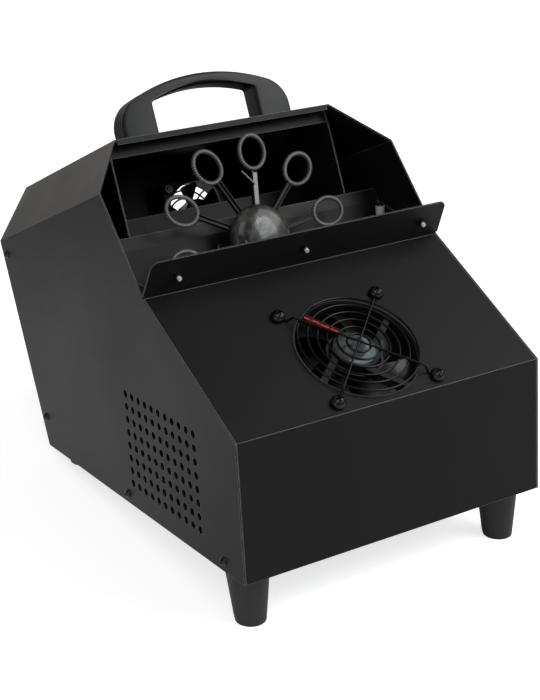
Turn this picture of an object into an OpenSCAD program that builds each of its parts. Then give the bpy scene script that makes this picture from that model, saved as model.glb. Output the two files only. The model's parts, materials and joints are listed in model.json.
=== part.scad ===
// Bubble machine: folded sheet-metal body that leans back on tall front feet.
// Every piece is drawn in the body's own frame, where X runs across, Y runs back
// from the front panel and Z runs up from the underside. on_floor() then tips the
// body back on its feet. The finished model has its origin on the floor, at the
// middle of its length and width.

/* [Body] */
// Width over the outer cover
body_w = 250; // [240:1:280]
// Height of the upright front panel
front_h = 100; // [96:1:120]
// Length of the slanted panel that carries the front fan
slant_len = 134.6; // [128:0.2:150]
// Slope of the slanted panel
slant_tilt = 31; // [28:1:33]
// Length of the cheek edge, from the slanted panel to the cover's shoulder
cheek_len = 83.8; // [80:0.2:92]
// Slope of the cheek edge
cheek_tilt = 49.8; // [48:0.2:52]
// Length of the cover's side along the roof
roof_len = 212.8; // [206:0.2:240]
// Lean of the roof, the rear panel and the wand wheel
lean = 20; // [18:1:22]
// Inset of the chamfer between side and roof
chamfer_in = 32.7; // [24:0.1:36]
// Rise of the chamfer, square to the roof
chamfer_rise = 38.8; // [36:0.1:44]
// Setback of the roof's front edge behind the shoulder
chamfer_back = 25; // [15:1:28]
// Thickness of the folded steel
sheet = 1.2; // [1:0.1:1.5]

/* [Lip] */
// Height of the upstand in front of the tank
lip_h = 32; // [28:1:36]
// Forward lean of the upstand
lip_lean = 29; // [20:1:32]
// Radius of the upstand's top corners
lip_r = 6; // [4:1:10]
// Inset of the upstand's ends at its top
lip_inset = 2; // [0:0.5:6]

/* [Vents] */
// Columns of vent holes in each side
vent_columns = 11; // [6:1:12]
// Rows of vent holes in each side
vent_rows = 8; // [4:1:8]
// Spacing of the vent holes
vent_pitch = 10; // [9:0.5:10]
// Diameter of a vent hole
vent_d = 6; // [4:0.5:7]

/* [Front fan] */
// Width of the square fan frame
fan_size = 92; // [90:0.5:94]
// Depth of the fan frame
fan_depth = 25; // [22:1:26]
// Spacing of the four fan screws
fan_hole_pitch = 82.5; // [82:0.1:83]
// Place of the fan's centre up the slanted panel
fan_up = 50; // [50:1:54]
// Blades on the front rotor
fan_blades = 7; // [5:1:9]
// Gap between the guard's rings
guard_pitch = 7; // [6:0.1:7.2]
// Diameter of the guard wire
guard_wire = 1.6; // [1.2:0.1:1.8]

/* [Rear fan] */
// Width of the square rear fan frame
rear_fan_size = 60; // [58:1:62]
// Spacing of the four rear fan screws
rear_hole_pitch = 50; // [49:0.5:51]
// Sideways place of the rear fan
rear_fan_x = 48; // [40:1:54]

/* [Wand wheel] */
// Number of wands
wands = 10; // [6:1:10]
// Radius from the wheel's centre to the ring centres
ring_at = 64.6; // [60:0.2:66]
// Width of a bubble ring, measured across its arm
ring_d = 24.4; // [20:0.2:26]
// Length of a bubble ring, measured along its arm
ring_len = 29; // [24:0.2:31]
// Width of a ring's band between its ribs
ring_band = 1.8; // [1.4:0.1:3.2]
// Ribs round a ring
ring_ribs = 36; // [20:2:40]
// Diameter of the smoky hub cap
hub_d = 49; // [46:1:54]
// Turn of the wheel at rest
wheel_turn = 8; // [0:1:36]

/* [Handle] */
// Width of the carrying handle
handle_w = 145; // [130:1:150]
// Height of the handle above the roof
handle_h = 43; // [38:1:48]
// Depth of the handle along the roof
handle_depth = 20; // [18:1:26]
// Width of each handle leg
handle_leg = 29; // [24:1:32]
// Thickness of the grip at its middle
grip_h = 9; // [7:0.5:11]

/* [Feet] */
// Height of the front feet
front_foot_h = 40.5; // [36:0.5:46]
// Height of the rear feet
rear_foot_h = 12.5; // [10:0.5:18]
// Top diameter of the front feet
front_foot_d = 31; // [28:1:34]
// Top diameter of the rear feet
rear_foot_d = 26; // [24:1:28]
// Taper of each foot's side, per millimetre of height
foot_taper = 0.11; // [0.06:0.01:0.13]

/* [Hidden] */

// clearances: between sheets, between a screw and its hole, between moving pieces
gap = 0.2;
seam = 0.02;
fit = 0.05;
run = 0.6;
$fn = 48;

// colours of the finishes
coat = [0.13, 0.13, 0.14];
moulded = [0.10, 0.10, 0.11];
rubber = [0.16, 0.16, 0.17];
bright = [0.78, 0.78, 0.80];
smoke = [0.45, 0.45, 0.47];

// directions in the Y-Z plane: down the roof, and square to it
down_roof = [cos(lean), -sin(lean)];
off_roof = [sin(lean), cos(lean)];
lip_dir = [-sin(lip_lean), cos(lip_lean)];

// corners of the side profile, as [y, z]
slant_end = [slant_len * cos(slant_tilt), front_h + slant_len * sin(slant_tilt)];
shoulder = slant_end + cheek_len * [cos(cheek_tilt), sin(cheek_tilt)];
side_rear = shoulder + roof_len * down_roof;
rear_low = [side_rear[0] - side_rear[1] * tan(lean), 0];
rear_top = side_rear + chamfer_rise * off_roof;
// height of the underside at the rear, in the leaned frame
rear_bottom = -side_rear[1] / cos(lean);
inner_w = body_w - 2 * (sheet + gap);

// places in the leaned frame, whose origin is the shoulder: [along the roof, off it]
plate_y = 34.6;
window_low = -31.4;
window_high = 26.6;
window_inset = 31.5;
window_w = body_w - 2 * window_inset;
wheel_y = 16.9;
wheel_z = -51.6;
shield_y = 100;
shield_top = -13.3;
rear_fan_z = -11.5;

// feet: places from the front, and the lean-back that their heights give
front_foot_x = body_w / 2 - 17.5;
rear_foot_x = body_w / 2 - 21.5;
foot_y1 = 26;
foot_y2 = rear_low[0] - 19;
tilt = atan((front_foot_h - rear_foot_h) / (foot_y2 - foot_y1));
floor_y = (rear_top[0] * cos(tilt) + rear_top[1] * sin(tilt)) / 2;
floor_z = foot_y1 * sin(tilt) + front_foot_h * cos(tilt);

// screw sizes: shank diameter
cover_shank = 3.5;
small_shank = 3;
fan_shank = 4;

// ---------- frames ----------

module on_floor() translate([0, -floor_y, floor_z]) rotate([-tilt, 0, 0]) children();
module leaned() translate([0, shoulder[0], shoulder[1]]) rotate([-lean, 0, 0]) children();
module on_slant() translate([0, 0, front_h]) rotate([slant_tilt, 0, 0]) children();
module on_lip() translate([0, slant_end[0], slant_end[1]]) rotate([lip_lean, 0, 0]) children();
// wheel and rear-panel frames have Z pointing out of the machine, forward and back
module at_wheel() leaned() translate([0, wheel_y, wheel_z]) rotate([90, 0, 0]) children();
module on_rear() leaned() translate([0, roof_len, 0]) rotate([-90, 180, 0]) children();
module at_front_fan() on_slant() translate([0, fan_up, 0]) children();
module at_rear_fan() on_rear() translate([-rear_fan_x, rear_fan_z, 0]) children();

// ---------- shared shapes ----------

// a [y, z] outline run across the machine, centred on it
module across(points, w) rotate([90, 0, 90]) translate([0, 0, -w / 2]) linear_extrude(w)
    polygon(points);

function unit(v) = v / norm(v);
function left_of(a, b) = let (d = unit(b - a)) [-d[1], d[0]];
function offset_point(p, i, t) =
    i == 0 ? p[0] + t * left_of(p[0], p[1]) :
    i == len(p) - 1 ? p[i] + t * left_of(p[i - 1], p[i]) :
    let (n1 = left_of(p[i - 1], p[i]), n2 = left_of(p[i], p[i + 1]))
    p[i] + t * (n1 + n2) / (1 + n1 * n2);
// section of a sheet folded along a path; its thickness lies to the right of the path
function folded(p, t) = concat(p, [for (i = [len(p) - 1:-1:0]) offset_point(p, i, -t)]);
function arc(c, r, a1, a2, n) = [for (i = [0:n])
    let (a = a1 + (a2 - a1) * i / n) c + r * [cos(a), sin(a)]];

module square_pattern(pitch) for (x = [-1, 1], y = [-1, 1])
    translate([x * pitch / 2, y * pitch / 2, 0]) children();

// pan head with a cross recess, its seat at z = 0 and its shank below
module pan_screw(d, head_d, head_h, length) {
    dome_r = (pow(head_d / 2, 2) + pow(head_h, 2)) / (2 * head_h);
    difference() {
        union() {
            intersection() {
                translate([0, 0, head_h - dome_r]) sphere(dome_r);
                cylinder(d = head_d, h = head_h);
            }
            translate([0, 0, -length]) cylinder(d = d, h = length + 0.2);
        }
        for (a = [0, 90]) rotate([0, 0, a])
            translate([-head_d * 0.26, -head_d * 0.055, head_h * 0.45])
                cube([head_d * 0.52, head_d * 0.11, head_h]);
    }
}

module hex_nut(d, across_flats, h) difference() {
    cylinder(d = across_flats / cos(30), h = h, $fn = 6);
    translate([0, 0, -1]) cylinder(d = d + 2 * fit, h = h + 2);
}

// ---------- folded steel ----------

// screw places in each side, as [y, z]
base_screws = [[26.7, 7.3], [167.3, 7.3]];
// the same for the rear panel's flanges, as [along the roof, off it]
rear_screws = [[roof_len - 7.8, rear_bottom + 23], [roof_len - 7.8, -12.6]];

module side_screw_places() {
    for (p = base_screws) translate([0, p[0], p[1]]) children();
    leaned() for (p = rear_screws) translate([0, p[0], p[1]]) children();
}

module side_screw_holes(d) side_screw_places() rotate([0, 90, 0]) translate([0, 0, -body_w])
    cylinder(d = d, h = 2 * body_w);

module foot_places() {
    for (x = [-1, 1]) translate([x * front_foot_x, foot_y1, 0]) children();
    for (x = [-1, 1]) translate([x * rear_foot_x, foot_y2, 0]) children();
}

board_at = [-62, rear_low[0] - 68];
board_pitch = [84, 52];
module board_places() for (x = [-1, 1], y = [-1, 1])
    translate([board_at[0] + x * board_pitch[0] / 2, board_at[1] + y * board_pitch[1] / 2, 0]) children();

rear_flange_h = 14;
side_flange_h = 16;
hem_h = 3;

// bottom, front, slanted panel and upstand, folded from one sheet
module chassis() color(coat) on_floor() difference() {
    union() {
        rear_fold = rear_low - [(sheet + gap) / cos(lean), 0];
        across(folded([rear_fold + rear_flange_h * off_roof, rear_fold, [0, 0], [0, front_h],
            slant_end, slant_end + 4 * lip_dir], sheet), inner_w);
        on_lip() translate([0, sheet, 0]) rotate([90, 0, 0]) linear_extrude(sheet) {
            half = body_w / 2 - lip_inset * (lip_h - lip_r - 2) / (lip_h - 2);
            polygon([[-body_w / 2, 2], [body_w / 2, 2], [half, lip_h - lip_r], [half - lip_r, lip_h],
                [lip_r - half, lip_h], [-half, lip_h - lip_r]]);
            for (x = [-1, 1]) translate([x * (half - lip_r), lip_h - lip_r]) circle(lip_r);
        }
        for (x = [-1, 1]) translate([x * (inner_w - sheet) / 2 - sheet / 2, sheet / 2, 0])
            cube([sheet, rear_low[0] - 30, side_flange_h]);
    }
    at_front_fan() {
        translate([0, 0, -5]) cylinder(d = fan_size - 2, h = 10);
        square_pattern(fan_hole_pitch) translate([0, 0, -5]) cylinder(d = fan_shank + 2 * fit, h = 10);
    }
    on_lip() lip_places() cylinder(d = small_shank + 2 * fit, h = 10, center = true);
    side_screw_holes(cover_shank + 2 * fit);
    foot_places() cylinder(d = fan_shank + 2 * fit, h = 10, center = true);
    board_places() cylinder(d = small_shank + 2 * fit, h = 10, center = true);
}

lip_screw_x = [24 - body_w / 2, 2, body_w / 2 - 20];
lip_screw_z = 16;
module lip_places() for (x = lip_screw_x) translate([x, 0, lip_screw_z]) rotate([90, 0, 0]) children();

// sides, chamfers and roof, folded from one sheet, with a hem under the roof's front edge
module outer_cover() color(coat) on_floor() difference() {
    union() {
        intersection() {
            leaned() rotate([90, 0, 0]) translate([0, 0, -roof_len]) linear_extrude(roof_len + 300)
                polygon(cover_section(0));
            across([[0, 0], [0, front_h], slant_end, shoulder, shoulder + 60 * off_roof,
                side_rear + 60 * off_roof, side_rear, rear_low], body_w + 2);
        }
        leaned() translate([-body_w / 2 + chamfer_in + 2, chamfer_back, chamfer_rise - sheet - hem_h])
            cube([body_w - 2 * chamfer_in - 4, sheet, hem_h + sheet / 2]);
    }
    leaned() linear_extrude(80) polygon([[-body_w, -300], [-body_w, 0], [-body_w / 2, 0],
        [-body_w / 2 + chamfer_in, chamfer_back], [body_w / 2 - chamfer_in, chamfer_back],
        [body_w / 2, 0], [body_w, 0], [body_w, -300]]);
    translate([0, 56.7, 19.1]) for (i = [0:vent_columns - 1], j = [0:vent_rows - 1])
        translate([-body_w, i * vent_pitch, j * vent_pitch]) rotate([0, 90, 0])
            cylinder(d = vent_d, h = 2 * body_w);
    side_screw_holes(cover_shank + 2 * fit);
    leaned() handle_screw_places() cylinder(d = fan_shank + 2 * fit, h = 20, center = true);
}

// folded section of the cover at a given distance inside its outer face
function cover_path(inside) =
    let (a = atan(chamfer_in / chamfer_rise),
         corner = inside * [1, -tan(a / 2)],
         top = inside * [cos(a) / (1 + sin(a)), -1])
    [[-body_w / 2 + inside, -320],
     [-body_w / 2, 0] + corner,
     [-body_w / 2 + chamfer_in, chamfer_rise] + top,
     [body_w / 2 - chamfer_in - top[0], chamfer_rise + top[1]],
     [body_w / 2 - corner[0], corner[1]],
     [body_w / 2 - inside, -320]];
function cover_section(inside) =
    let (inner = cover_path(inside + sheet)) concat(cover_path(inside), [for (i = [5:-1:0]) inner[i]]);

// outline that fills the cover from one height to another, in the leaned frame
module inside_cover(low, high) intersection() {
    polygon(cover_path(sheet + seam));
    translate([-body_w / 2, low]) square([body_w, high - low]);
}

flange_w = 16;
rear_flange_low = rear_bottom + 16;
rear_flange_high = -5;
switch_at = [66, rear_bottom + 43];
switch_hole = [13, 19.4];
inlet_at = [-2, rear_bottom + 43];
inlet_hole = [27.4, 47];

// upright sheet that closes the rear, leaning with the roof's edge
module rear_panel() color(coat) on_floor() difference() {
    union() {
        leaned() translate([0, roof_len, 0]) rotate([90, 0, 0]) linear_extrude(sheet)
            inside_cover(rear_bottom + gap, chamfer_rise);
        leaned() for (x = [-1, 1])
            translate([x * (inner_w - sheet) / 2 - sheet / 2, roof_len - flange_w, rear_flange_low])
            cube([sheet, flange_w, rear_flange_high - rear_flange_low]);
    }
    side_screw_holes(cover_shank + 2 * fit);
    at_rear_fan() {
        translate([0, 0, -5]) cylinder(d = rear_fan_size - 4, h = 10);
        square_pattern(rear_hole_pitch) translate([0, 0, -5]) cylinder(d = fan_shank + 2 * fit, h = 10);
    }
    on_rear() {
        translate([switch_at[0] - switch_hole[0] / 2, switch_at[1] - switch_hole[1] / 2, -5])
            cube([switch_hole[0], switch_hole[1], 10]);
        translate([inlet_at[0] - inlet_hole[0] / 2, inlet_at[1] - inlet_hole[1] / 2, -5])
            cube([inlet_hole[0], inlet_hole[1], 10]);
        inlet_screw_places() cylinder(d = small_shank + 2 * fit, h = 10, center = true);
    }
}

// a point of the leaned frame, as [y, z] of the body
function leaned_point(y, z) = shoulder + y * down_roof + z * off_roof;
// height in the leaned frame at which the plane y meets a level of the body
function leaned_height(y, level) = (level - shoulder[1] + y * sin(lean)) / cos(lean);

// sheet behind the wheel: motor mount below, an open air duct above with a rail over
// its mouth, and a foot on the bottom
module back_plate() color(coat) on_floor() difference() {
    rear_face = plate_y + sheet;
    foot = leaned_point(rear_face, leaned_height(rear_face, sheet));
    duct_low = window_low - band_h - duct_hold;
    duct_rear = shield_y - gap;
    rail_h = (rail_top - window_high) / cos(band_lean);
    union() {
        across(folded([leaned_point(rear_face, window_low - band_h - gap), foot, foot - [14, 0]], sheet),
            inner_w - 2 * (sheet + gap));
        intersection() {
            leaned() {
                for (x = [-1, 1]) translate([x * (window_w + sheet) / 2, 0, 0]) across([
                    [plate_y, duct_low], [plate_y, window_low - band_h],
                    [plate_y + band_h * tan(band_lean), window_low], [plate_y, window_low + sheet / 2],
                    [plate_y, rail_top], [duct_rear, rail_top], [duct_rear, duct_low]], sheet);
                translate([-window_w / 2 - sheet, plate_y, window_high]) rotate([-band_lean, 0, 0])
                    cube([window_w + 2 * sheet, sheet, rail_h]);
            }
            leaned() rotate([90, 0, 0]) translate([0, 0, -150]) linear_extrude(300)
                polygon(cover_path(sheet + gap));
        }
    }
    at_wheel() {
        translate([0, 0, -40]) cylinder(d = bush_d + 2 * fit, h = 40);
        motor_screw_places() translate([0, 0, -40]) cylinder(d = small_shank + 2 * fit, h = 40);
    }
}

// sloped bands above and below the duct's mouth
band_h = 9.6;
band_lean = 12;
rail_top = chamfer_rise - sheet - 0.6;
duct_hold = 8;

// inner wall between the wet chamber and the supply
module splash_shield() color(coat) on_floor() {
    rear_face = shield_y + sheet;
    foot = leaned_point(rear_face, leaned_height(rear_face, sheet));
    across(folded([leaned_point(rear_face, shield_top), foot, foot - [14, 0]], sheet),
        inner_w - 4 * gap - 2 * sheet);
}

// ---------- fluid tank ----------

tank_w = inner_w - 2;
tank_low = slant_end[1] - 71.3;
tank_rear_y = plate_y - gap / 2;
tank_front_y = slant_end[0] + 10.6;
tank_fold = offset_point([[0, front_h], slant_end, slant_end + lip_dir], 1, -(sheet + gap));
tank_strip = 22;
ledge_z = slant_end[1] - 3.3;
ledge_w = 16;
ledge_front = slant_end[0] + 2.8;
ledge_rear = leaned_point(tank_rear_y - sheet / 2,
    leaned_height(tank_rear_y - sheet / 2, ledge_z))[0];
post_at = [body_w / 2 - 10, slant_end[0] + 58.6];
post_h = 15;

// open trough under the wheel, hung between the upstand and the back plate
module fluid_tank() color(coat) on_floor() difference() {
    rear_low_corner = leaned_point(tank_rear_y, leaned_height(tank_rear_y, tank_low));
    rear_bend = leaned_point(tank_rear_y, window_low - band_h);
    rear_edge = leaned_point(tank_rear_y + band_h * tan(band_lean), window_low);
    union() {
        across(folded([rear_edge, rear_bend, rear_low_corner, [tank_front_y, tank_low], tank_fold,
            tank_fold + tank_strip * lip_dir], sheet), tank_w);
        for (x = [-1, 1]) {
            translate([x * (tank_w - sheet) / 2, 0, 0]) across([
                leaned_point(tank_rear_y - sheet / 2, window_low - band_h),
                rear_low_corner + [-sheet / 2, sheet / 2], [tank_front_y + sheet / 2, tank_low + sheet / 2],
                tank_fold + [sheet / 2, 0]], sheet);
            translate([x * (tank_w - ledge_w) / 2 - ledge_w / 2, ledge_front, ledge_z])
                cube([ledge_w, ledge_rear - ledge_front, sheet]);
        }
    }
    on_lip() lip_places() cylinder(d = small_shank + 2 * fit, h = 12, center = true);
    at_wheel() {
        translate([0, 0, -40]) cylinder(d = bush_d + 2 * fit, h = 40);
        motor_screw_places() translate([0, 0, -40]) cylinder(d = small_shank + 2 * fit, h = 40);
    }
    post_places() cylinder(d = small_shank + 2 * fit, h = 10, center = true);
}

module post_places() for (x = [-1, 1]) translate([x * post_at[0], post_at[1], ledge_z + sheet]) children();

// bright pillars that stand on the tank's end ledges
module tank_posts() color(bright) on_floor() post_places() difference() {
    cylinder(d = 7, h = post_h);
    translate([0, 0, -1]) cylinder(d = small_shank + 2 * fit, h = post_h + 2);
}

module post_screws() color(moulded) on_floor() post_places() translate([0, 0, post_h])
    pan_screw(small_shank, 6, 2.2, post_h + 4);

module lip_screws() color(moulded) on_floor() on_lip() lip_places()
    translate([0, 0, -2 * sheet - gap]) rotate([180, 0, 0])
    pan_screw(small_shank, 6, 2.2, 2 * sheet + gap + 4.5);

module lip_nuts() color(moulded) on_floor() on_lip() lip_places() hex_nut(small_shank, 5.5, 2.4);

module cover_screws() color(moulded) on_floor() for (side = [-1, 1])
    side_screw_places() translate([side * body_w / 2, 0, 0]) rotate([0, side * 90, 0])
    pan_screw(cover_shank, 7.2, 2.6, 7);

// ---------- fans ----------

// each strut meets the hub this share of its diameter to one side of the centre
strut_share = 0.3;
strut_w = 5;
stator_thick = 4;
stator_drop = 1;

// square frame whose struts carry the motor's stator, its face at z = 0
module fan_frame(size, depth, pitch, hub_d, turn) {
    duct_d = size - 4;
    corner = size * 0.06;
    difference() {
        union() {
            for (z = [-depth, -4]) translate([0, 0, z]) linear_extrude(4) difference() {
                square(size, center = true);
                square_pattern(size) square(corner, center = true);
            }
            translate([0, 0, -depth]) cylinder(d = size, h = depth);
        }
        translate([0, 0, -depth - 1]) cylinder(d = duct_d, h = depth + 2);
        square_pattern(pitch) translate([0, 0, -depth - 1])
            cylinder(d = fan_shank + 2 * fit, h = depth + 2);
    }
    difference() {
        translate([0, 0, -stator_drop - stator_thick]) {
            cylinder(d = hub_d, h = stator_thick);
            translate([0, 0, -depth * 0.4]) cylinder(d = hub_d - 8, h = depth * 0.4 + 1);
            intersection() {
                for (a = [0:90:270]) rotate([0, 0, turn + a])
                    translate([hub_d * 0.3, -strut_share * hub_d - strut_w / 2, 0])
                    cube([size / 2, strut_w, stator_thick - 1.5]);
                cylinder(d = duct_d + 2, h = stator_thick);
            }
        }
        translate([0, 0, -depth]) cylinder(d = rotor_pin + 2 * fit, h = depth - stator_drop - 1.2);
    }
}

rotor_pin = 3;

// cup hub, blades and the pin that turns in the stator
module fan_rotor(size, depth, hub_d, blades) {
    tip_r = size / 2 - 3.4;
    low = -depth + 0.8;
    high = -stator_drop - stator_thick - run;
    difference() {
        translate([0, 0, low]) cylinder(d = hub_d, h = high - low);
        translate([0, 0, low + 2]) cylinder(d = hub_d - 5, h = high - low);
    }
    translate([0, 0, low + 1]) cylinder(d = rotor_pin, h = -stator_drop - 2.4 - low - 1);
    intersection() {
        difference() {
            translate([0, 0, low]) cylinder(r = tip_r, h = high - low);
            translate([0, 0, low - 1]) cylinder(d = hub_d - 1, h = high - low + 2);
        }
        for (i = [0:blades - 1]) rotate([0, 0, i * 360 / blades]) translate([0, 0, (low + high) / 2])
            rotate([blade_pitch, 0, 0]) cambered_blade(hub_d / 2 - 1, tip_r, size * 0.44);
    }
}

blade_pitch = 38;
blade_thick = 1.4;

// strip of a thin cylinder wall, curved across its chord and run out from the hub
module cambered_blade(from, to, chord) {
    camber_r = chord * 0.85;
    translate([from, 0, -camber_r + chord * 0.1]) rotate([0, 90, 0]) intersection() {
        difference() {
            cylinder(r = camber_r + blade_thick / 2, h = to - from + 1);
            translate([0, 0, -1]) cylinder(r = camber_r - blade_thick / 2, h = to - from + 3);
        }
        translate([-camber_r * 1.2, -chord / 2, -1]) cube([camber_r * 1.2, chord, to - from + 3]);
    }
}

// rings and two crossed wires that step down to an eye under each screw
module fan_guard(size, pitch, rings, head_d) {
    ring_z = 4.2;
    eye_at = pitch / sqrt(2);
    low_z = guard_wire / 2;
    cross_z = ring_z + guard_wire * 0.85;
    step_out = eye_at - head_d / 2 - 0.7;
    step_in = step_out - 5;
    for (i = [0:rings - 1]) translate([0, 0, ring_z]) rotate_extrude()
        translate([size / 2 - 2.5 - i * guard_pitch, 0]) circle(d = guard_wire, $fn = 24);
    for (a = [45, 135]) rotate([0, 0, a]) translate([-step_in, 0, cross_z + (a - 45) * 0.003])
        rotate([0, 90, 0]) cylinder(d = guard_wire, h = 2 * step_in);
    for (a = [45:90:315]) rotate([0, 0, a]) {
        translate([step_in - 0.3, 0, cross_z + 0.1])
            rotate([0, 90 + atan((cross_z + 0.1 - low_z) / (step_out - step_in)), 0])
            cylinder(d = guard_wire * 0.98, h = norm([cross_z - low_z, step_out - step_in]) + 0.6);
        translate([step_out - 0.4, 0, low_z]) rotate([0, 90, 0])
            cylinder(d = guard_wire * 0.96, h = eye_at - eye_r - step_out + 0.4);
        translate([eye_at, 0, low_z]) rotate_extrude() translate([eye_r, 0])
            circle(d = guard_wire, $fn = 24);
    }
}

eye_r = 3.5;
fan_head_d = 11;
rear_head_d = 9;
lead_d = 1.8;
lead_turn = 130;
fan_hub_d = 34;
rear_hub_d = 20;
rear_depth = 20;

module front_fan_frame() color(moulded) on_floor() at_front_fan() translate([0, 0, -sheet])
    fan_frame(fan_size, fan_depth, fan_hole_pitch, fan_hub_d, lead_turn);
module front_fan_rotor() color(moulded) on_floor() at_front_fan() translate([0, 0, -sheet])
    fan_rotor(fan_size, fan_depth, fan_hub_d, fan_blades);
module front_fan_label() color([0.6, 0.6, 0.6]) on_floor() at_front_fan()
    translate([0, 0, -sheet - stator_drop]) cylinder(d = fan_hub_d - 3, h = 0.2);
// lead laid along a strut, from the stator to the duct
module fan_lead(side) {
    beside = strut_share * fan_hub_d - side * lead_d * 0.6;
    from = sqrt(pow(fan_hub_d / 2, 2) - pow(beside - lead_d / 2, 2)) + 0.3;
    to = sqrt(pow(fan_size / 2 - 2, 2) - pow(beside + lead_d / 2, 2)) - 0.3;
    on_floor() at_front_fan() rotate([0, 0, lead_turn])
        translate([from, -beside, -sheet - stator_drop - 1.5 + lead_d / 2])
        rotate([0, 90, 0]) cylinder(d = lead_d, h = to - from);
}
module front_fan_lead_red() color([0.8, 0.1, 0.06]) fan_lead(1);
module front_fan_lead_black() color([0.05, 0.05, 0.05]) fan_lead(-1);
module front_fan_guard() color(moulded) on_floor() at_front_fan()
    fan_guard(fan_size, fan_hole_pitch, 6, fan_head_d);
module front_fan_screws() color(moulded) on_floor() at_front_fan() square_pattern(fan_hole_pitch)
    translate([0, 0, guard_wire])
    pan_screw(fan_shank, fan_head_d, 4.6, guard_wire + sheet + fan_depth + 4.5);
module front_fan_nuts() color(bright) on_floor() at_front_fan() square_pattern(fan_hole_pitch)
    translate([0, 0, -sheet - fan_depth - 3.2]) hex_nut(fan_shank, 7, 3.2);

module rear_fan_frame() color(moulded) on_floor() at_rear_fan() translate([0, 0, -sheet])
    fan_frame(rear_fan_size, rear_depth, rear_hole_pitch, rear_hub_d, 30);
module rear_fan_rotor() color(moulded) on_floor() at_rear_fan() translate([0, 0, -sheet])
    fan_rotor(rear_fan_size, rear_depth, rear_hub_d, 5);
module rear_fan_guard() color(moulded) on_floor() at_rear_fan()
    fan_guard(rear_fan_size - 6.6, rear_hole_pitch, 3, rear_head_d);
module rear_fan_screws() color(moulded) on_floor() at_rear_fan() square_pattern(rear_hole_pitch)
    translate([0, 0, guard_wire])
    pan_screw(fan_shank, rear_head_d, 3.4, guard_wire + sheet + rear_depth + 4.5);
module rear_fan_nuts() color(bright) on_floor() at_rear_fan() square_pattern(rear_hole_pitch)
    translate([0, 0, -sheet - rear_depth - 3.2]) hex_nut(fan_shank, 7, 3.2);

// ---------- wand wheel ----------

shaft_d = 6;
bush_d = 10;
hub_r = 22;
arm_w = 4.4;
arm_thick = 3.2;
ring_thick = 3.6;
rib_h = 0.9;
channel_w = 2.4;
channel_d = 1.8;
cap_rim_z = 2;
cap_h = 14;
hub_half = 4;
wall_z = -(tank_rear_y - sheet - wheel_y);
plate_rear_z = -(plate_y + sheet - wheel_y);

// closed oval outline with ribs; a negative rib height points them inward
function ribbed(half, h, n) = [for (i = [0:2 * n - 1])
    let (a = i * 180 / n, out = (i % 2) * h) [(half[0] + out) * cos(a), (half[1] + out) * sin(a)]];

// oval ring at the end of a channel-shaped arm
module wand() {
    band = [ring_len / 2 - rib_h, ring_d / 2 - rib_h];
    arm_from = hub_r - 8;
    arm_to = ring_at - band[0] + 1;
    channel_to = ring_at - ring_len / 2 - 1.5;
    translate([ring_at, 0, -ring_thick / 2]) linear_extrude(ring_thick) difference() {
        polygon(ribbed(band, rib_h, ring_ribs));
        polygon(ribbed(band - [ring_band, ring_band], -rib_h, ring_ribs));
    }
    difference() {
        translate([arm_from, -arm_w / 2, -arm_thick / 2]) cube([arm_to - arm_from, arm_w, arm_thick]);
        translate([arm_from - 1, -channel_w / 2, arm_thick / 2 - channel_d])
            cube([channel_to - arm_from + 1, channel_w, channel_d + 1]);
    }
}

module wand_places() for (i = [0:wands - 1]) rotate([0, 0, wheel_turn + i * 360 / wands]) children();

// disc and boss on the shaft, with a socket for each wand
module wheel_hub() color(moulded) on_floor() at_wheel() difference() {
    union() {
        translate([0, 0, -hub_half]) cylinder(r = hub_r, h = 2 * hub_half);
        translate([0, 0, -hub_half - 5]) cylinder(d = 14, h = 6);
    }
    translate([0, 0, -20]) cylinder(d = shaft_d + 2 * fit, h = 40);
    wand_places() translate([hub_r - 8 - fit, -arm_w / 2 - fit, -arm_thick / 2 - fit])
        cube([20, arm_w + 2 * fit, arm_thick + 2 * fit]);
}

module wheel_wand(i) color([0.36, 0.36, 0.37]) on_floor() at_wheel()
    rotate([0, 0, wheel_turn + (i - 1) * 360 / wands]) wand();

// domed cap of smoky plastic over the hub
module hub_cap() color(smoke) on_floor() at_wheel() {
    dome_h = cap_h - hub_half;
    dome_r = (pow(hub_d / 2, 2) + dome_h * dome_h) / (2 * dome_h);
    difference() {
        union() {
            translate([0, 0, cap_rim_z]) cylinder(d = hub_d, h = hub_half - cap_rim_z);
            intersection() {
                translate([0, 0, hub_half + dome_h - dome_r]) sphere(dome_r);
                translate([0, 0, hub_half]) cylinder(d = hub_d, h = dome_h + 1);
            }
        }
        translate([0, 0, cap_rim_z - 1]) cylinder(r = hub_r + 0.3, h = hub_half - cap_rim_z + 1);
        cylinder(r = 7.5, h = hub_half + 5);
    }
}

module hub_nut() color(bright) on_floor() at_wheel() translate([0, 0, hub_half]) hex_nut(shaft_d, 10, 4);

module wheel_shaft() color(bright) on_floor() at_wheel()
    translate([0, 0, plate_rear_z - 10]) cylinder(d = shaft_d, h = 10 - plate_rear_z + hub_half + 4.5);

// bright clip laid along one wand's arm, with a short wire out to the side
clip_wand = 2;
module arm_clip() color(bright) on_floor() at_wheel() rotate([0, 0, wheel_turn + clip_wand * 360 / wands])
    translate([0, 0, arm_thick / 2]) {
        translate([hub_d / 2 + 0.6, -arm_w * 0.4, 0])
            cube([ring_at - ring_len / 2 - hub_d / 2 - 2, arm_w * 0.8, 0.8]);
        translate([40, 1, 0.8]) rotate([0, 0, 48]) rotate([0, 90, 0]) intersection() {
            cylinder(d = 1.8, h = 14);
            translate([-2, -1, 0]) cube([2.8, 2, 14]);
        }
    }

module shaft_bush() color([0.75, 0.62, 0.35]) on_floor() at_wheel() difference() {
    union() {
        translate([0, 0, plate_rear_z]) cylinder(d = bush_d, h = wall_z - plate_rear_z + 1);
        translate([0, 0, wall_z]) cylinder(d = bush_d + 4, h = 2);
    }
    translate([0, 0, plate_rear_z - 1]) cylinder(d = shaft_d + 2 * fit, h = 20);
}

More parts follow.
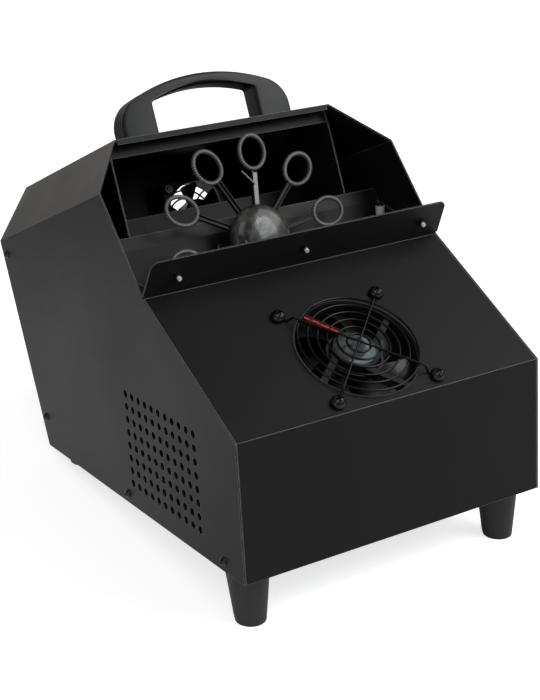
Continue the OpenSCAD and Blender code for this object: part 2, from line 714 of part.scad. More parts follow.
gearbox_d = 42;
gearbox_h = 18;
gearbox_drop = 8;
ear_pitch = 50;
module motor_screw_places() for (x = [-1, 1]) translate([x * ear_pitch / 2, 0, 0]) children();

// round case whose shaft sits off its centre, on a plate with two ears
module gearbox() color(bright) on_floor() at_wheel() translate([0, 0, plate_rear_z]) difference() {
    union() {
        translate([0, -gearbox_drop, -gearbox_h]) cylinder(d = gearbox_d, h = gearbox_h);
        translate([-ear_pitch / 2 - 5, -5, -1.5]) cube([ear_pitch + 10, 10, 1.5]);
    }
    translate([0, 0, -12]) cylinder(d = shaft_d + 2 * fit, h = 13);
    motor_screw_places() cylinder(d = small_shank + 2 * fit, h = 10, center = true);
}

module motor() color(bright) on_floor() at_wheel()
    translate([0, -gearbox_drop, plate_rear_z - gearbox_h]) {
    translate([0, 0, -26]) cylinder(d = 36, h = 26);
    translate([0, 0, -29]) cylinder(d = 12, h = 4);
}

module motor_screws() color(bright) on_floor() at_wheel() motor_screw_places()
    translate([0, 0, wall_z]) pan_screw(small_shank, 6, 2.2, wall_z - plate_rear_z + 4);

// ---------- handle and feet ----------

handle_y = chamfer_back + 22;
grip_r = 145;
shoulder_r = 24;

module handle_screw_places() for (x = [-1, 1], y = [0.26, 0.74])
    translate([x * (handle_w - handle_leg) / 2, handle_y + y * handle_depth, chamfer_rise]) children();

// arched handle, one outline run along the roof
module handle() color(moulded) on_floor() leaned() difference() {
    c = [0, handle_h - grip_r];
    side = handle_w / 2 - shoulder_r;
    join = acos(side / (grip_r - shoulder_r));
    s = [side, c[1] + (grip_r - shoulder_r) * sin(join)];
    inner_x = handle_w / 2 - handle_leg;
    inner_r = grip_r - grip_h;
    turn = asin(inner_x / inner_r);
    translate([0, handle_y + handle_depth, chamfer_rise]) rotate([90, 0, 0]) linear_extrude(handle_depth)
        polygon(concat([[handle_w / 2, 0]], arc(s, shoulder_r, 0, join, 8),
            arc(c, grip_r, join, 180 - join, 14),
            arc([-s[0], s[1]], shoulder_r, 180 - join, 180, 8),
            [[-handle_w / 2, 0], [-inner_x, 0]],
            arc(c, inner_r, 90 + turn, 90 - turn, 12), [[inner_x, 0]]));
    handle_screw_places() cylinder(d = fan_shank + 2 * fit, h = 24, center = true);
}

module handle_screws() color(bright) on_floor() leaned() handle_screw_places()
    translate([0, 0, -sheet]) rotate([180, 0, 0]) pan_screw(fan_shank, 7.5, 2.8, sheet + 11);

foot_seat = 5;
recess_d = 12;

foot_spare = 4;

// tapered rubber foot, long enough to be cut flush with the floor
module foot(h, d) {
    low = -h - foot_spare;
    bore_r = fan_shank / 2 + fit;
    rotate_extrude() polygon([[bore_r, 0], [d / 2 - 1, 0], [d / 2, -1], [d / 2 + foot_taper * low, low],
        [recess_d / 2, low], [recess_d / 2, -foot_seat], [bore_r, -foot_seat]]);
}

module front_feet() color(rubber) difference() {
    on_floor() for (x = [-1, 1]) translate([x * front_foot_x, foot_y1, 0])
        foot(front_foot_h, front_foot_d);
    translate([-body_w, -body_w, -20]) cube([2 * body_w, 2 * body_w, 20]);
}

module rear_feet() color(rubber) difference() {
    on_floor() for (x = [-1, 1]) translate([x * rear_foot_x, foot_y2, 0])
        foot(rear_foot_h, rear_foot_d);
    translate([-body_w, -body_w, -20]) cube([2 * body_w, 2 * body_w, 20]);
}

module foot_screws() color(bright) on_floor() foot_places()
    translate([0, 0, -foot_seat]) rotate([180, 0, 0]) pan_screw(fan_shank, 8, 2.6, foot_seat + sheet + 5);

module foot_nuts() color(bright) on_floor() foot_places() translate([0, 0, sheet])
    hex_nut(fan_shank, 7, 3.2);

// ---------- supply ----------

board_size = [100, 66];
board_thick = 1.6;
spacer_h = 8;
board_top = sheet + spacer_h + board_thick;

module on_board() translate([board_at[0], board_at[1], board_top]) children();

module supply_board() color([0.1, 0.3, 0.16]) on_floor() difference() {
    on_board() translate([-board_size[0] / 2, -board_size[1] / 2, -board_thick])
        cube([board_size[0], board_size[1], board_thick]);
    board_places() cylinder(d = small_shank + 2 * fit, h = 30, center = true);
}

// nylon spacers that snap through the bottom and the board
module board_spacers() color([0.85, 0.85, 0.82]) on_floor() board_places() {
    translate([0, 0, sheet]) cylinder(d = 6, h = spacer_h);
    cylinder(d = small_shank, h = board_top + 2);
}

module transformer() color([0.55, 0.5, 0.2]) on_floor() on_board() translate([-12, 4, 0]) {
    translate([-20, -17, 0]) cube([40, 34, 28]);
    translate([-14, -21, 4]) cube([28, 42, 20]);
}

module capacitors() color([0.12, 0.14, 0.3]) on_floor() on_board() for (y = [-14, 8])
    translate([32, y, 0]) cylinder(d = 16, h = 26);

module terminal_block() color([0.15, 0.4, 0.2]) on_floor() on_board() translate([0, -28, 0]) difference() {
    translate([-20, -5, 0]) cube([40, 9, 12]);
    for (i = [-1.5:1.5]) translate([i * 9.5, 0, 0]) {
        translate([0, 0, 6]) cylinder(d = 5, h = 8);
        translate([-2.5, -6, 2]) cube([5, 4, 5]);
    }
}

// ---------- mains inlet and switch, in the rear panel's frame ----------

inlet_depth = 26;
drawer_h = 12;
drawer_y = 14;
drawer_body = [19, 9];

module on_inlet() on_floor() on_rear() translate([inlet_at[0], inlet_at[1], 0]) children();
module inlet_screw_places() for (x = [-20, 20]) translate([inlet_at[0] + x, inlet_at[1], 0]) children();

module inlet_socket() color(moulded) difference() {
    on_inlet() difference() {
        union() {
            translate([-15.5, -25.5, 0]) cube([31, 51, 3]);
            translate([-25, -10, 0]) cube([50, 20, 3]);
            translate([-13.5, -23.3, -inlet_depth]) cube([27, 46.6, inlet_depth + 1]);
        }
        translate([0, -8, -18]) linear_extrude(30)
            polygon([[-12, -8], [12, -8], [12, 3.5], [7.5, 8], [-7.5, 8], [-12, 3.5]]);
        translate([-drawer_body[0] / 2 - 0.4, drawer_y - drawer_body[1] / 2 - 0.4, -22])
            cube([drawer_body[0] + 0.8, drawer_body[1] + 0.8, 40]);
        for (p = [[-7, -10], [0, -6], [7, -10]]) translate([p[0] - 1.05, p[1] - 2.05, -inlet_depth - 1])
            cube([2.1, 4.1, 10]);
    }
    on_floor() on_rear() inlet_screw_places() cylinder(d = small_shank + 2 * fit, h = 20, center = true);
}

// three flat pins, their tails behind the socket
module inlet_pins() color(bright) on_inlet() for (p = [[-7, -10], [0, -6], [7, -10]])
    translate([p[0] - 1, p[1] - 2, -inlet_depth - 7]) cube([2, 4, 21]);

module inlet_screws() color(bright) on_floor() on_rear() inlet_screw_places()
    translate([0, 0, 3]) pan_screw(small_shank, 6, 2.2, 11);

// drawer that pulls straight out of the socket's upper bay
module fuse_drawer() color(moulded) on_inlet() translate([0, drawer_y, 0]) difference() {
    union() {
        translate([-12, -drawer_h / 2, 3.3]) cube([24, drawer_h, 2.4]);
        translate([-drawer_body[0] / 2, -drawer_body[1] / 2, -20])
            cube([drawer_body[0], drawer_body[1], 24]);
    }
    translate([-5, -drawer_h / 2 - 1, 4.6]) cube([10, 3, 3]);
    translate([-8, -drawer_body[1] / 2 - 1, -18]) cube([16, 7, 14]);
}

rocker_pivot = -1;
rocker_pin = 2;
rocker_turn = 7;

module on_switch() on_floor() on_rear() translate([switch_at[0], switch_at[1], 0]) children();

module switch_frame() color(moulded) on_switch() difference() {
    union() {
        translate([-7.5, -10.5, 0]) cube([15, 21, 2]);
        translate([-6.4, -9.6, -18]) cube([12.8, 19.2, 18.5]);
        for (y = [-5, 0, 5]) translate([-2.4, y - 0.4, -25]) cube([4.8, 0.8, 8]);
    }
    translate([-5.4, -8.2, -7]) cube([10.8, 16.4, 12]);
    translate([0, 0, rocker_pivot]) rotate([0, 90, 0])
        cylinder(d = rocker_pin + 2 * fit, h = 11.8, center = true);
}

// rocker on two stub pins, shown in its off position
module switch_rocker() color(moulded) on_switch() translate([0, 0, rocker_pivot])
    rotate([rocker_turn, 0, 0]) {
    rotate([90, 0, 90]) translate([0, 0, -5.1]) linear_extrude(10.2)
        polygon([[-7.5, 1], [-7.5, 3.6], [0, 2.4], [7.5, 3.6], [7.5, 1], [3, -3.2], [-3, -3.2]]);
    rotate([0, 90, 0]) cylinder(d = rocker_pin, h = 11.6, center = true);
}

chassis();
outer_cover();
rear_panel();
back_plate();
splash_shield();
fluid_tank();
tank_posts();
post_screws();
lip_screws();
lip_nuts();
cover_screws();
front_fan_frame();
front_fan_rotor();
front_fan_label();
front_fan_lead_red();
front_fan_lead_black();
front_fan_guard();
front_fan_screws();
front_fan_nuts();
rear_fan_frame();
rear_fan_rotor();
rear_fan_guard();
rear_fan_screws();
rear_fan_nuts();
wheel_hub();
for (i = [1:wands]) wheel_wand(i);
hub_cap();
hub_nut();
arm_clip();
wheel_shaft();
shaft_bush();
gearbox();
motor();
motor_screws();
handle();
handle_screws();
front_feet();
rear_feet();
foot_screws();
foot_nuts();
supply_board();
board_spacers();
transformer();
capacitors();
terminal_block();
inlet_socket();
inlet_pins();
inlet_screws();
fuse_drawer();
switch_frame();
switch_rocker();
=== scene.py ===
# Bubble machine: folded steel body, wand wheel over an open tank, two fans,
# arched handle and rubber feet. Metres throughout.
import json
import math

import bmesh
import bpy
import numpy as np
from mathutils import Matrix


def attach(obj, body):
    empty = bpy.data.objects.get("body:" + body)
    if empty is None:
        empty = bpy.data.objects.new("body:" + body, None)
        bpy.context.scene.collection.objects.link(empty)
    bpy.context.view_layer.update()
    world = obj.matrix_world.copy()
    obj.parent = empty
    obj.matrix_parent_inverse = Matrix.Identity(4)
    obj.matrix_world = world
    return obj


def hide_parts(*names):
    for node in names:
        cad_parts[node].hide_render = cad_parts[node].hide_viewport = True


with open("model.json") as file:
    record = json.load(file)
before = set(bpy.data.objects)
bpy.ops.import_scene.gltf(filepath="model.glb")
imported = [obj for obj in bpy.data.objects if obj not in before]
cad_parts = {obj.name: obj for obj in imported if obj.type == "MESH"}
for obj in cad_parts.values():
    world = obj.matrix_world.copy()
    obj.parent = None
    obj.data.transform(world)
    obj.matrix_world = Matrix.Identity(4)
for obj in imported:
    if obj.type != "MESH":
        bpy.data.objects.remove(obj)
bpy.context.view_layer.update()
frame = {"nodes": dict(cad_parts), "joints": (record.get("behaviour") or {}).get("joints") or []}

mm = 0.001
onFace = 0.05 * mm  # a node's point this near to its outermost one lies on the same face
weldReach = 0.002 * mm  # points of a surface nearer than this become one
axisGap = 0.01 * mm  # a turned profile that reaches its axis stops this far from it
print("frame loaded:", len(frame["nodes"]), "nodes")

camera = {
    "azimuth": -31.823,  # degrees round from straight ahead
    "elevation": 24.048,
    "roll": 0.076,
    "lookAt": (-0.0058, -0.0414, 0.1236),
    "distance": 1.1687,
    "lens": 80.325,  # millimetres
    "clip": (0.01, 50),
}


def placeCamera(view):
    turn = math.radians(view["azimuth"])
    rise = math.radians(view["elevation"])
    back = np.array([math.sin(turn) * math.cos(rise),
                     -math.cos(turn) * math.cos(rise), math.sin(rise)])
    data = bpy.data.cameras.new("camera")
    data.lens = view["lens"]
    data.clip_start, data.clip_end = view["clip"]
    cam = bpy.data.objects.new("camera", data)
    bpy.context.scene.collection.objects.link(cam)
    cam.location = np.array(view["lookAt"]) + back * view["distance"]
    # the camera looks down its own -Z, so it is tipped up from straight down, then turned
    cam.rotation_euler = (math.pi / 2 - rise, math.radians(view["roll"]), turn)
    bpy.context.scene.camera = cam


placeCamera(camera)


def nodePoints(name):
    # a CAD node's own vertices, in the frame
    mesh = frame["nodes"][name].data
    flat = np.zeros(len(mesh.vertices) * 3)
    mesh.vertices.foreach_get("co", flat)
    return flat.reshape(-1, 3)


def jointPlace(name, across=(1, 0, 0)):
    # local frame of a turning piece: x across, y up its face, z out along the axis
    joint = next(j for j in frame["joints"] if j["name"] == name)
    out = np.array(joint["axis"])
    side = np.array(across, float)
    return {"origin": np.array(joint["pos_m"]), "axes": np.array([side, np.cross(out, side), out])}


def toLocal(points, place):
    return (points - place["origin"]) @ place["axes"].T


def toWorld(points, place):
    return place["origin"] + points @ place["axes"]


wheelPlace = jointPlace("wheel_spin")
frontFanPlace = jointPlace("front_fan_spin")
rearFanPlace = jointPlace("rear_fan_spin", (-1, 0, 0))


def patch(grid, wrapRows=False, wrapColumns=False, capStart=False, capEnd=False):
    # a grid of points made into quads; a wrapped side joins its last row to its first,
    # and a cap closes the end row with a fan of triangles round the row's middle
    rows, columns = grid.shape[:2]
    i, j = np.meshgrid(np.arange(rows if wrapRows else rows - 1),
                       np.arange(columns if wrapColumns else columns - 1), indexing="ij")
    nextI = (i + 1) % rows
    nextJ = (j + 1) % columns
    quads = np.stack([i * columns + j, nextI * columns + j,
                      nextI * columns + nextJ, i * columns + nextJ], -1)
    faces = quads.reshape(-1, 4).tolist()
    points = grid.reshape(-1, 3)
    around = np.arange(columns)
    for wanted, row in ((capStart, 0), (capEnd, rows - 1)):
        if wanted:
            ring = row * columns + around
            middle = np.full(columns, len(points))
            points = np.vstack([points, grid[row].mean(0)])
            faces += np.stack([ring, np.roll(ring, -1), middle], -1).tolist()
    return points, faces


def joined(patches):
    # several patches as one list of points, each patch's faces counted on from its start
    points = np.vstack([p for p, _ in patches])
    starts = np.cumsum([0] + [len(p) for p, _ in patches])
    faces = []
    for start, (_, own) in zip(starts, patches):
        faces += [[int(start) + k for k in face] for face in own]
    return points, faces


def makePiece(name, patches, materials, body, replaces=(), sharp=38):
    # with several materials, each patch takes its own
    points, faces = joined(patches)
    mesh = bpy.data.meshes.new(name)
    mesh.from_pydata(points, [], faces)
    if not isinstance(materials, tuple):
        materials = (materials,) * len(patches)
    looks = list(dict.fromkeys(materials))
    own = [looks.index(look) for look in materials]
    mesh.polygons.foreach_set("material_index", np.repeat(own, [len(f) for _, f in patches]))
    work = bmesh.new()
    work.from_mesh(mesh)
    bmesh.ops.remove_doubles(work, verts=work.verts, dist=weldReach)
    bmesh.ops.recalc_face_normals(work, faces=work.faces)
    work.to_mesh(mesh)
    work.free()
    mesh.shade_smooth()
    mesh.set_sharp_from_angle(angle=math.radians(sharp))
    for look in looks:
        mesh.materials.append(look)
    piece = bpy.data.objects.new(name, mesh)
    bpy.context.scene.collection.objects.link(piece)
    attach(piece, body)
    if replaces:
        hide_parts(*replaces)


def ringOf(count):
    # angles in equal steps once round: 2 pi k / count
    return np.arange(count) * 2 * np.pi / count


def turned(profile, count=64):
    # surface of revolution: each (radius, height) of the profile goes once round the z axis
    radius = profile[:, 0][:, None]
    angle = ringOf(count)[None, :]
    return np.stack([radius * np.cos(angle), radius * np.sin(angle),
                     np.broadcast_to(profile[:, 1][:, None], (len(profile), count))], -1)


def rounded(corners, radii, steps=5):
    # outline through the corners, each open corner swapped for an arc-like curve:
    # (1-s)^2 a + 2s(1-s) corner + s^2 b, between points one radius before and after it
    corners = np.array(corners, float)
    out = [corners[:1]]
    s = np.linspace(0, 1, steps)[:, None]
    for before, corner, after, radius in zip(corners[:-2], corners[1:-1], corners[2:], radii):
        a = corner + (before - corner) / np.linalg.norm(before - corner) * radius
        b = corner + (after - corner) / np.linalg.norm(after - corner) * radius
        out.append((1 - s) ** 2 * a + 2 * s * (1 - s) * corner + s ** 2 * b)
    out.append(corners[-1:])
    return np.vstack(out)


def tube(path, radius, flat, sides=12, closed=False):
    # round wire: a circle carried along a path that lies in one plane, whose normal is flat
    if closed:
        along = np.roll(path, -1, 0) - np.roll(path, 1, 0)
    else:
        along = np.gradient(path, axis=0)
    along = along / np.linalg.norm(along, axis=1)[:, None]
    flat = np.array(flat, float)
    side = np.cross(along, flat)
    angle = ringOf(sides)
    grid = (path[:, None, :] + radius * (np.cos(angle)[None, :, None] * flat
                                         + np.sin(angle)[None, :, None] * side[:, None, :]))
    return patch(grid, wrapRows=closed, wrapColumns=True, capStart=not closed, capEnd=not closed)


def moved(made, place):
    return toWorld(made[0], place), made[1]


def linear(colour):
    c = np.array(colour, float) / 255
    low = c / 12.92
    high = ((c + 0.055) / 1.055) ** 2.4
    return tuple(np.where(c <= 0.04045, low, high)) + (1.0,)


def newLook(name):
    look = bpy.data.materials.new(name)
    look.use_nodes = True
    tree = look.node_tree
    tree.nodes.clear()
    shader = tree.nodes.new("ShaderNodeBsdfPrincipled")
    out = tree.nodes.new("ShaderNodeOutputMaterial")
    tree.links.new(shader.outputs[0], out.inputs[0])
    return look, tree, shader


def coordinates(tree, stretch=(1, 1, 1), turn=(0, 0, 0)):
    source = tree.nodes.new("ShaderNodeTexCoord")
    mapping = tree.nodes.new("ShaderNodeMapping")
    mapping.inputs["Scale"].default_value = stretch
    mapping.inputs["Rotation"].default_value = turn
    tree.links.new(source.outputs["Object"], mapping.inputs["Vector"])
    return mapping.outputs[0]


def grain(tree, where, scale, detail=4, rough=0.55, distort=0.0):
    node = tree.nodes.new("ShaderNodeTexNoise")
    node.inputs["Scale"].default_value = scale
    node.inputs["Detail"].default_value = detail
    node.inputs["Roughness"].default_value = rough
    node.inputs["Distortion"].default_value = distort
    tree.links.new(where, node.inputs["Vector"])
    return node.outputs["Fac"]


def cells(tree, where, scale):
    node = tree.nodes.new("ShaderNodeTexVoronoi")
    node.inputs["Scale"].default_value = scale
    tree.links.new(where, node.inputs["Vector"])
    return node.outputs["Distance"]


def distanceFrom(tree, where, point):
    node = tree.nodes.new("ShaderNodeVectorMath")
    node.operation = "DISTANCE"
    tree.links.new(where, node.inputs[0])
    node.inputs[1].default_value = tuple(point)
    return node.outputs["Value"]


def spread(tree, value, fromLow, fromHigh, low, high):
    node = tree.nodes.new("ShaderNodeMapRange")
    node.inputs["From Min"].default_value = fromLow
    node.inputs["From Max"].default_value = fromHigh
    node.inputs["To Min"].default_value = low
    node.inputs["To Max"].default_value = high
    tree.links.new(value, node.inputs["Value"])
    return node.outputs[0]


def combine(tree, kind, a, b):
    node = tree.nodes.new("ShaderNodeMath")
    node.operation = kind
    tree.links.new(a, node.inputs[0])
    if isinstance(b, (int, float)):
        node.inputs[1].default_value = b
    else:
        tree.links.new(b, node.inputs[1])
    return node.outputs[0]


def tint(tree, amount, first, second):
    node = tree.nodes.new("ShaderNodeMix")
    node.data_type = "RGBA"
    tree.links.new(amount, node.inputs["Factor"])
    for socket, colour in zip([s for s in node.inputs if s.type == "RGBA"], (first, second)):
        if isinstance(colour, tuple):
            socket.default_value = colour
        else:
            tree.links.new(colour, socket)
    return next(s for s in node.outputs if s.type == "RGBA")


def softEdge(tree, radius):
    node = tree.nodes.new("ShaderNodeBevel")
    node.samples = 4
    node.inputs["Radius"].default_value = radius
    return node.outputs[0]


def edgeHighlightMask(tree, soft, low=0.9, high=0.995):
    # 1 on folds and cut edges, where the softened normal turns away from the face's own: where a painted
    # highlight goes
    source = tree.nodes.new("ShaderNodeNewGeometry")
    node = tree.nodes.new("ShaderNodeVectorMath")
    node.operation = "DOT_PRODUCT"
    tree.links.new(soft, node.inputs[0])
    tree.links.new(source.outputs["Normal"], node.inputs[1])
    return spread(tree, node.outputs["Value"], low, high, 1, 0)


def bump(tree, height, depth, strength=1.0, under=None):
    node = tree.nodes.new("ShaderNodeBump")
    node.inputs["Distance"].default_value = depth
    node.inputs["Strength"].default_value = strength
    tree.links.new(height, node.inputs["Height"])
    if under is not None:
        tree.links.new(under, node.inputs["Normal"])
    return node.outputs[0]


noiseRange = (0.35, 0.65)  # where most of a noise's values lie
wideRange = (0.3, 0.7)
patchShare = 0.6  # of the broad patches in a finish; its fine grain has the rest


def finish(name, dark, light, rough, patchScale=14, grainScale=900, grainDepth=0.05 * mm, gloss=0.5,
           grainStrength=0.6, metal=0.0, edge=0.0, paintedEdgeHighlight=None, coat=0.0, coatRough=0.12):
    # broad patches vary the colour and the roughness, and a fine grain lifts the surface
    look, tree, shader = newLook(name)
    where = coordinates(tree)
    patches = grain(tree, where, patchScale, detail=5, rough=0.6)
    speckle = grain(tree, where, grainScale, detail=3, rough=0.5)
    both = combine(tree, "ADD", combine(tree, "MULTIPLY", patches, patchShare),
                   combine(tree, "MULTIPLY", speckle, 1 - patchShare))
    shade = tint(tree, spread(tree, both, *noiseRange, 0, 1), linear(dark), linear(light))
    rub = spread(tree, both, *noiseRange, *rough)
    under = softEdge(tree, edge) if edge else None
    # folds and cut edges take a lighter colour here: a painted highlight, as if they caught the light
    if paintedEdgeHighlight:
        shade = tint(tree, edgeHighlightMask(tree, under), shade, linear(paintedEdgeHighlight))
    tree.links.new(shade, shader.inputs["Base Color"])
    tree.links.new(rub, shader.inputs["Roughness"])
    tree.links.new(bump(tree, speckle, grainDepth, grainStrength, under), shader.inputs["Normal"])
    shader.inputs["Metallic"].default_value = metal
    shader.inputs["Specular IOR Level"].default_value = gloss
    if coat:
        shader.inputs["Coat Weight"].default_value = coat
        shader.inputs["Coat Roughness"].default_value = coatRough
    return look


coatLook = {
    "dark": (16, 16, 17),  # sRGB
    "light": (21, 21, 22),
    "rough": (0.40, 0.50),
    "gloss": 0.16,
    "grainScale": 1500,
    "grainDepth": 0.035 * mm,
    "edge": 0.6 * mm,
    # a painted highlight along folds and cut edges
    "paintedEdgeHighlight": (138, 138, 140),
}
powderCoat = finish("powderCoat", patchScale=9, **coatLook)
screwBlack = finish("screwBlack", (7, 7, 8), (16, 16, 17), (0.16, 0.28), gloss=0.42, grainScale=700,
                    edge=0.25 * mm)
guardPaint = finish("guardPaint", (3, 3, 4), (7, 7, 8), (0.16, 0.24), gloss=0.2, grainScale=1100)
fanPlastic = finish("fanPlastic", (15, 15, 16), (22, 22, 23), (0.42, 0.55), gloss=0.3, grainScale=1700,
                    edge=0.4 * mm)
rotorPlastic = finish("rotorPlastic", (12, 12, 13), (20, 20, 21), (0.3, 0.42), gloss=0.4, grainScale=1500)
hubPlastic = finish("hubPlastic", (26, 26, 28), (38, 38, 40), (0.4, 0.55), grainScale=1100, edge=0.3 * mm)
ringPlastic = finish("ringPlastic", (84, 84, 85), (122, 122, 120), (0.3, 0.42), patchScale=60,
                     grainScale=1400)
# the arms and the handle also take a painted highlight along their edges
armPlastic = finish("armPlastic", (6, 6, 7), (12, 12, 13), (0.36, 0.5), patchScale=60, gloss=0.22,
                    grainScale=1400, edge=0.35 * mm, paintedEdgeHighlight=(66, 66, 66))
handlePlastic = finish("handlePlastic", (11, 11, 12), (17, 17, 18), (0.34, 0.46), gloss=0.24,
                       grainScale=1500, grainDepth=0.06 * mm, edge=0.9 * mm, paintedEdgeHighlight=(190, 190, 188))
footRubber = finish("footRubber", (22, 22, 23), (33, 33, 34), (0.46, 0.58), gloss=0.4, patchScale=30,
                    grainScale=1300, grainDepth=0.06 * mm)
mouldedBlack = finish("mouldedBlack", (14, 14, 15), (21, 21, 22), (0.4, 0.52), gloss=0.35, edge=0.4 * mm)
rockerBlack = finish("rockerBlack", (10, 10, 11), (16, 16, 17), (0.18, 0.28), gloss=0.5, edge=0.4 * mm)
leadRed = finish("leadRed", (226, 40, 24), (244, 58, 36), (0.3, 0.4), patchScale=60, grainScale=800)
leadBlack = finish("leadBlack", (14, 14, 14), (24, 24, 24), (0.32, 0.42), patchScale=60, grainScale=800)
nylonWhite = finish("nylonWhite", (196, 194, 186), (216, 214, 206), (0.4, 0.5), patchScale=50,
                    grainScale=900)
capSleeve = finish("capSleeve", (20, 26, 44), (30, 36, 56), (0.22, 0.34), patchScale=40, grainScale=600,
                   coat=0.4)
terminalGreen = finish("terminalGreen", (26, 92, 48), (36, 112, 60), (0.38, 0.48), patchScale=50,
                       grainScale=900, edge=0.3 * mm)


def brushed(name, dark, light, rough, stretch, edge=0.2 * mm, depth=0.02 * mm, lineScale=260,
            cloudScale=40, shadeRange=(0.38, 0.62)):
    # metal whose grain is drawn out along one direction
    look, tree, shader = newLook(name)
    lines = grain(tree, coordinates(tree, stretch), lineScale, detail=6, rough=0.65)
    clouds = grain(tree, coordinates(tree), cloudScale, detail=4, rough=0.6)
    mixed = combine(tree, "MULTIPLY", combine(tree, "ADD", lines, clouds), 0.5)
    shade = tint(tree, spread(tree, mixed, *shadeRange, 0, 1), linear(dark), linear(light))
    tree.links.new(shade, shader.inputs["Base Color"])
    tree.links.new(spread(tree, mixed, *noiseRange, *rough), shader.inputs["Roughness"])
    tree.links.new(bump(tree, lines, depth, 0.5, softEdge(tree, edge)), shader.inputs["Normal"])
    shader.inputs["Metallic"].default_value = 1.0
    return look


# near-white and mostly not metal: a painted reflection on the posts and lip screws, standing in for the
# bright reflection of the steel
postSteelPaintedSheen = finish("postSteelPaintedSheen", (206, 207, 208), (236, 236, 236), (0.26, 0.36), metal=0.2, gloss=0.6,
                   patchScale=60, edge=0.3 * mm)
clipSteel = brushed("clipSteel", (80, 80, 77), (112, 112, 108), (0.38, 0.5), (1, 1, 8))
brightSteel = brushed("brightSteel", (176, 177, 180), (222, 222, 224), (0.18, 0.32), (1, 1, 8))
zincCan = brushed("zincCan", (140, 142, 146), (188, 190, 194), (0.3, 0.45), (6, 1, 1))
bushBronze = brushed("bushBronze", (138, 104, 62), (176, 140, 88), (0.34, 0.5), (1, 1, 1), depth=0.05 * mm)


def smokyCap(name, view):
    # milky swirls and rubbed scratches in dark clear plastic under a gloss skin
    look, tree, shader = newLook(name)
    streaked = coordinates(tree, view["streakStretch"])
    scratched = coordinates(tree, view["scratchStretch"], view["scratchTurn"])
    swirl = grain(tree, coordinates(tree), view["swirlScale"], 7, 0.62, view["swirlTwist"])
    streak = grain(tree, streaked, view["streakScale"], 5, 0.6, view["streakTwist"])
    rubbed = grain(tree, scratched, view["scratchScale"], 6, 0.7, view["scratchTwist"])
    mixed = combine(tree, "MULTIPLY", combine(tree, "ADD", swirl, streak), 0.5)
    milky = spread(tree, mixed, *view["swirlRange"], 0, 1)
    shade = tint(tree, milky, linear(view["dark"]), linear(view["light"]))
    marked = spread(tree, rubbed, *view["scratchRange"], 0, 1)
    shade = tint(tree, marked, shade, linear(view["scratch"]))
    tree.links.new(shade, shader.inputs["Base Color"])
    tree.links.new(spread(tree, mixed, *wideRange, *view["rough"]), shader.inputs["Roughness"])
    tree.links.new(bump(tree, swirl, view["swirlDepth"], 0.35), shader.inputs["Normal"])
    shader.inputs["Specular IOR Level"].default_value = view["gloss"]
    shader.inputs["Coat Weight"].default_value = view["coat"]
    shader.inputs["Coat Roughness"].default_value = view["coatRough"]
    return look


capLook = {
    "dark": (18, 19, 18),
    "light": (84, 84, 79),
    "scratch": (176, 175, 166),
    "rough": (0.34, 0.2),
    "swirlScale": 62,
    "swirlTwist": 2.4,
    "swirlRange": (0.43, 0.64),
    "swirlDepth": 0.12 * mm,
    "streakScale": 40,
    "streakTwist": 1.4,
    "streakStretch": (1.0, 2.4, 0.8),
    "scratchScale": 150,
    "scratchTwist": 0.6,
    "scratchRange": (0.62, 0.72),
    "scratchStretch": (1.0, 0.16, 0.9),
    "scratchTurn": (0.5, 0.3, 0.8),
    "gloss": 0.3,
    "coat": 0.25,
    "coatRough": 0.08,
}
smokyPlastic = smokyCap("smokyPlastic", capLook)


def silverLabel(name, view):
    # a foil disc gone cloudy: dark blotches, and a painted highlight, a brighter crescent away from one
    # point
    look, tree, shader = newLook(name)
    where = coordinates(tree)
    blotch = grain(tree, where, view["blotchScale"], 5, 0.65, view["blotchTwist"])
    fine = grain(tree, where, view["fineScale"], detail=3, rough=0.5)
    # painted highlight: the colour turns lighter beyond reach of the given point
    highlightCrescent = spread(tree, distanceFrom(tree, where, view["highlightAwayFrom"]), *view["reach"], 0, 1)
    rim = spread(tree, distanceFrom(tree, where, view["middle"]), *view["foil"], 0, 1)
    cloudy = spread(tree, blotch, *view["blotchRange"], 0, 1)
    shade = tint(tree, cloudy, linear(view["dark"]), linear(view["mid"]))
    shade = tint(tree, highlightCrescent, shade, linear(view["light"]))
    shade = tint(tree, rim, shade, linear(view["dark"]))
    tree.links.new(shade, shader.inputs["Base Color"])
    tree.links.new(spread(tree, fine, *noiseRange, *view["rough"]), shader.inputs["Roughness"])
    tree.links.new(bump(tree, blotch, view["depth"], 0.4), shader.inputs["Normal"])
    return look


labelPoints = nodePoints("front_fan_label")
labelMiddle = (labelPoints.min(0) + labelPoints.max(0)) / 2
labelLook = {
    "dark": (15, 17, 19),
    "mid": (70, 74, 77),
    # the painted highlight's colour, in the crescent
    "light": (112, 121, 124),
    "rough": (0.3, 0.42),
    "depth": 0.05 * mm,
    "blotchScale": 190,
    "blotchTwist": 0.8,
    "blotchRange": (0.47, 0.57),
    "fineScale": 1200,
    "middle": labelMiddle,
    "foil": (13.4 * mm, 13.9 * mm),  # the foil's own edge, inside the disc's
    # the painted highlight lies away from this point
    "highlightAwayFrom": labelMiddle + np.array([-5, 5, 2.3]) * mm,
    "reach": (13.5 * mm, 15 * mm),
}
fanLabel = silverLabel("fanLabel", labelLook)


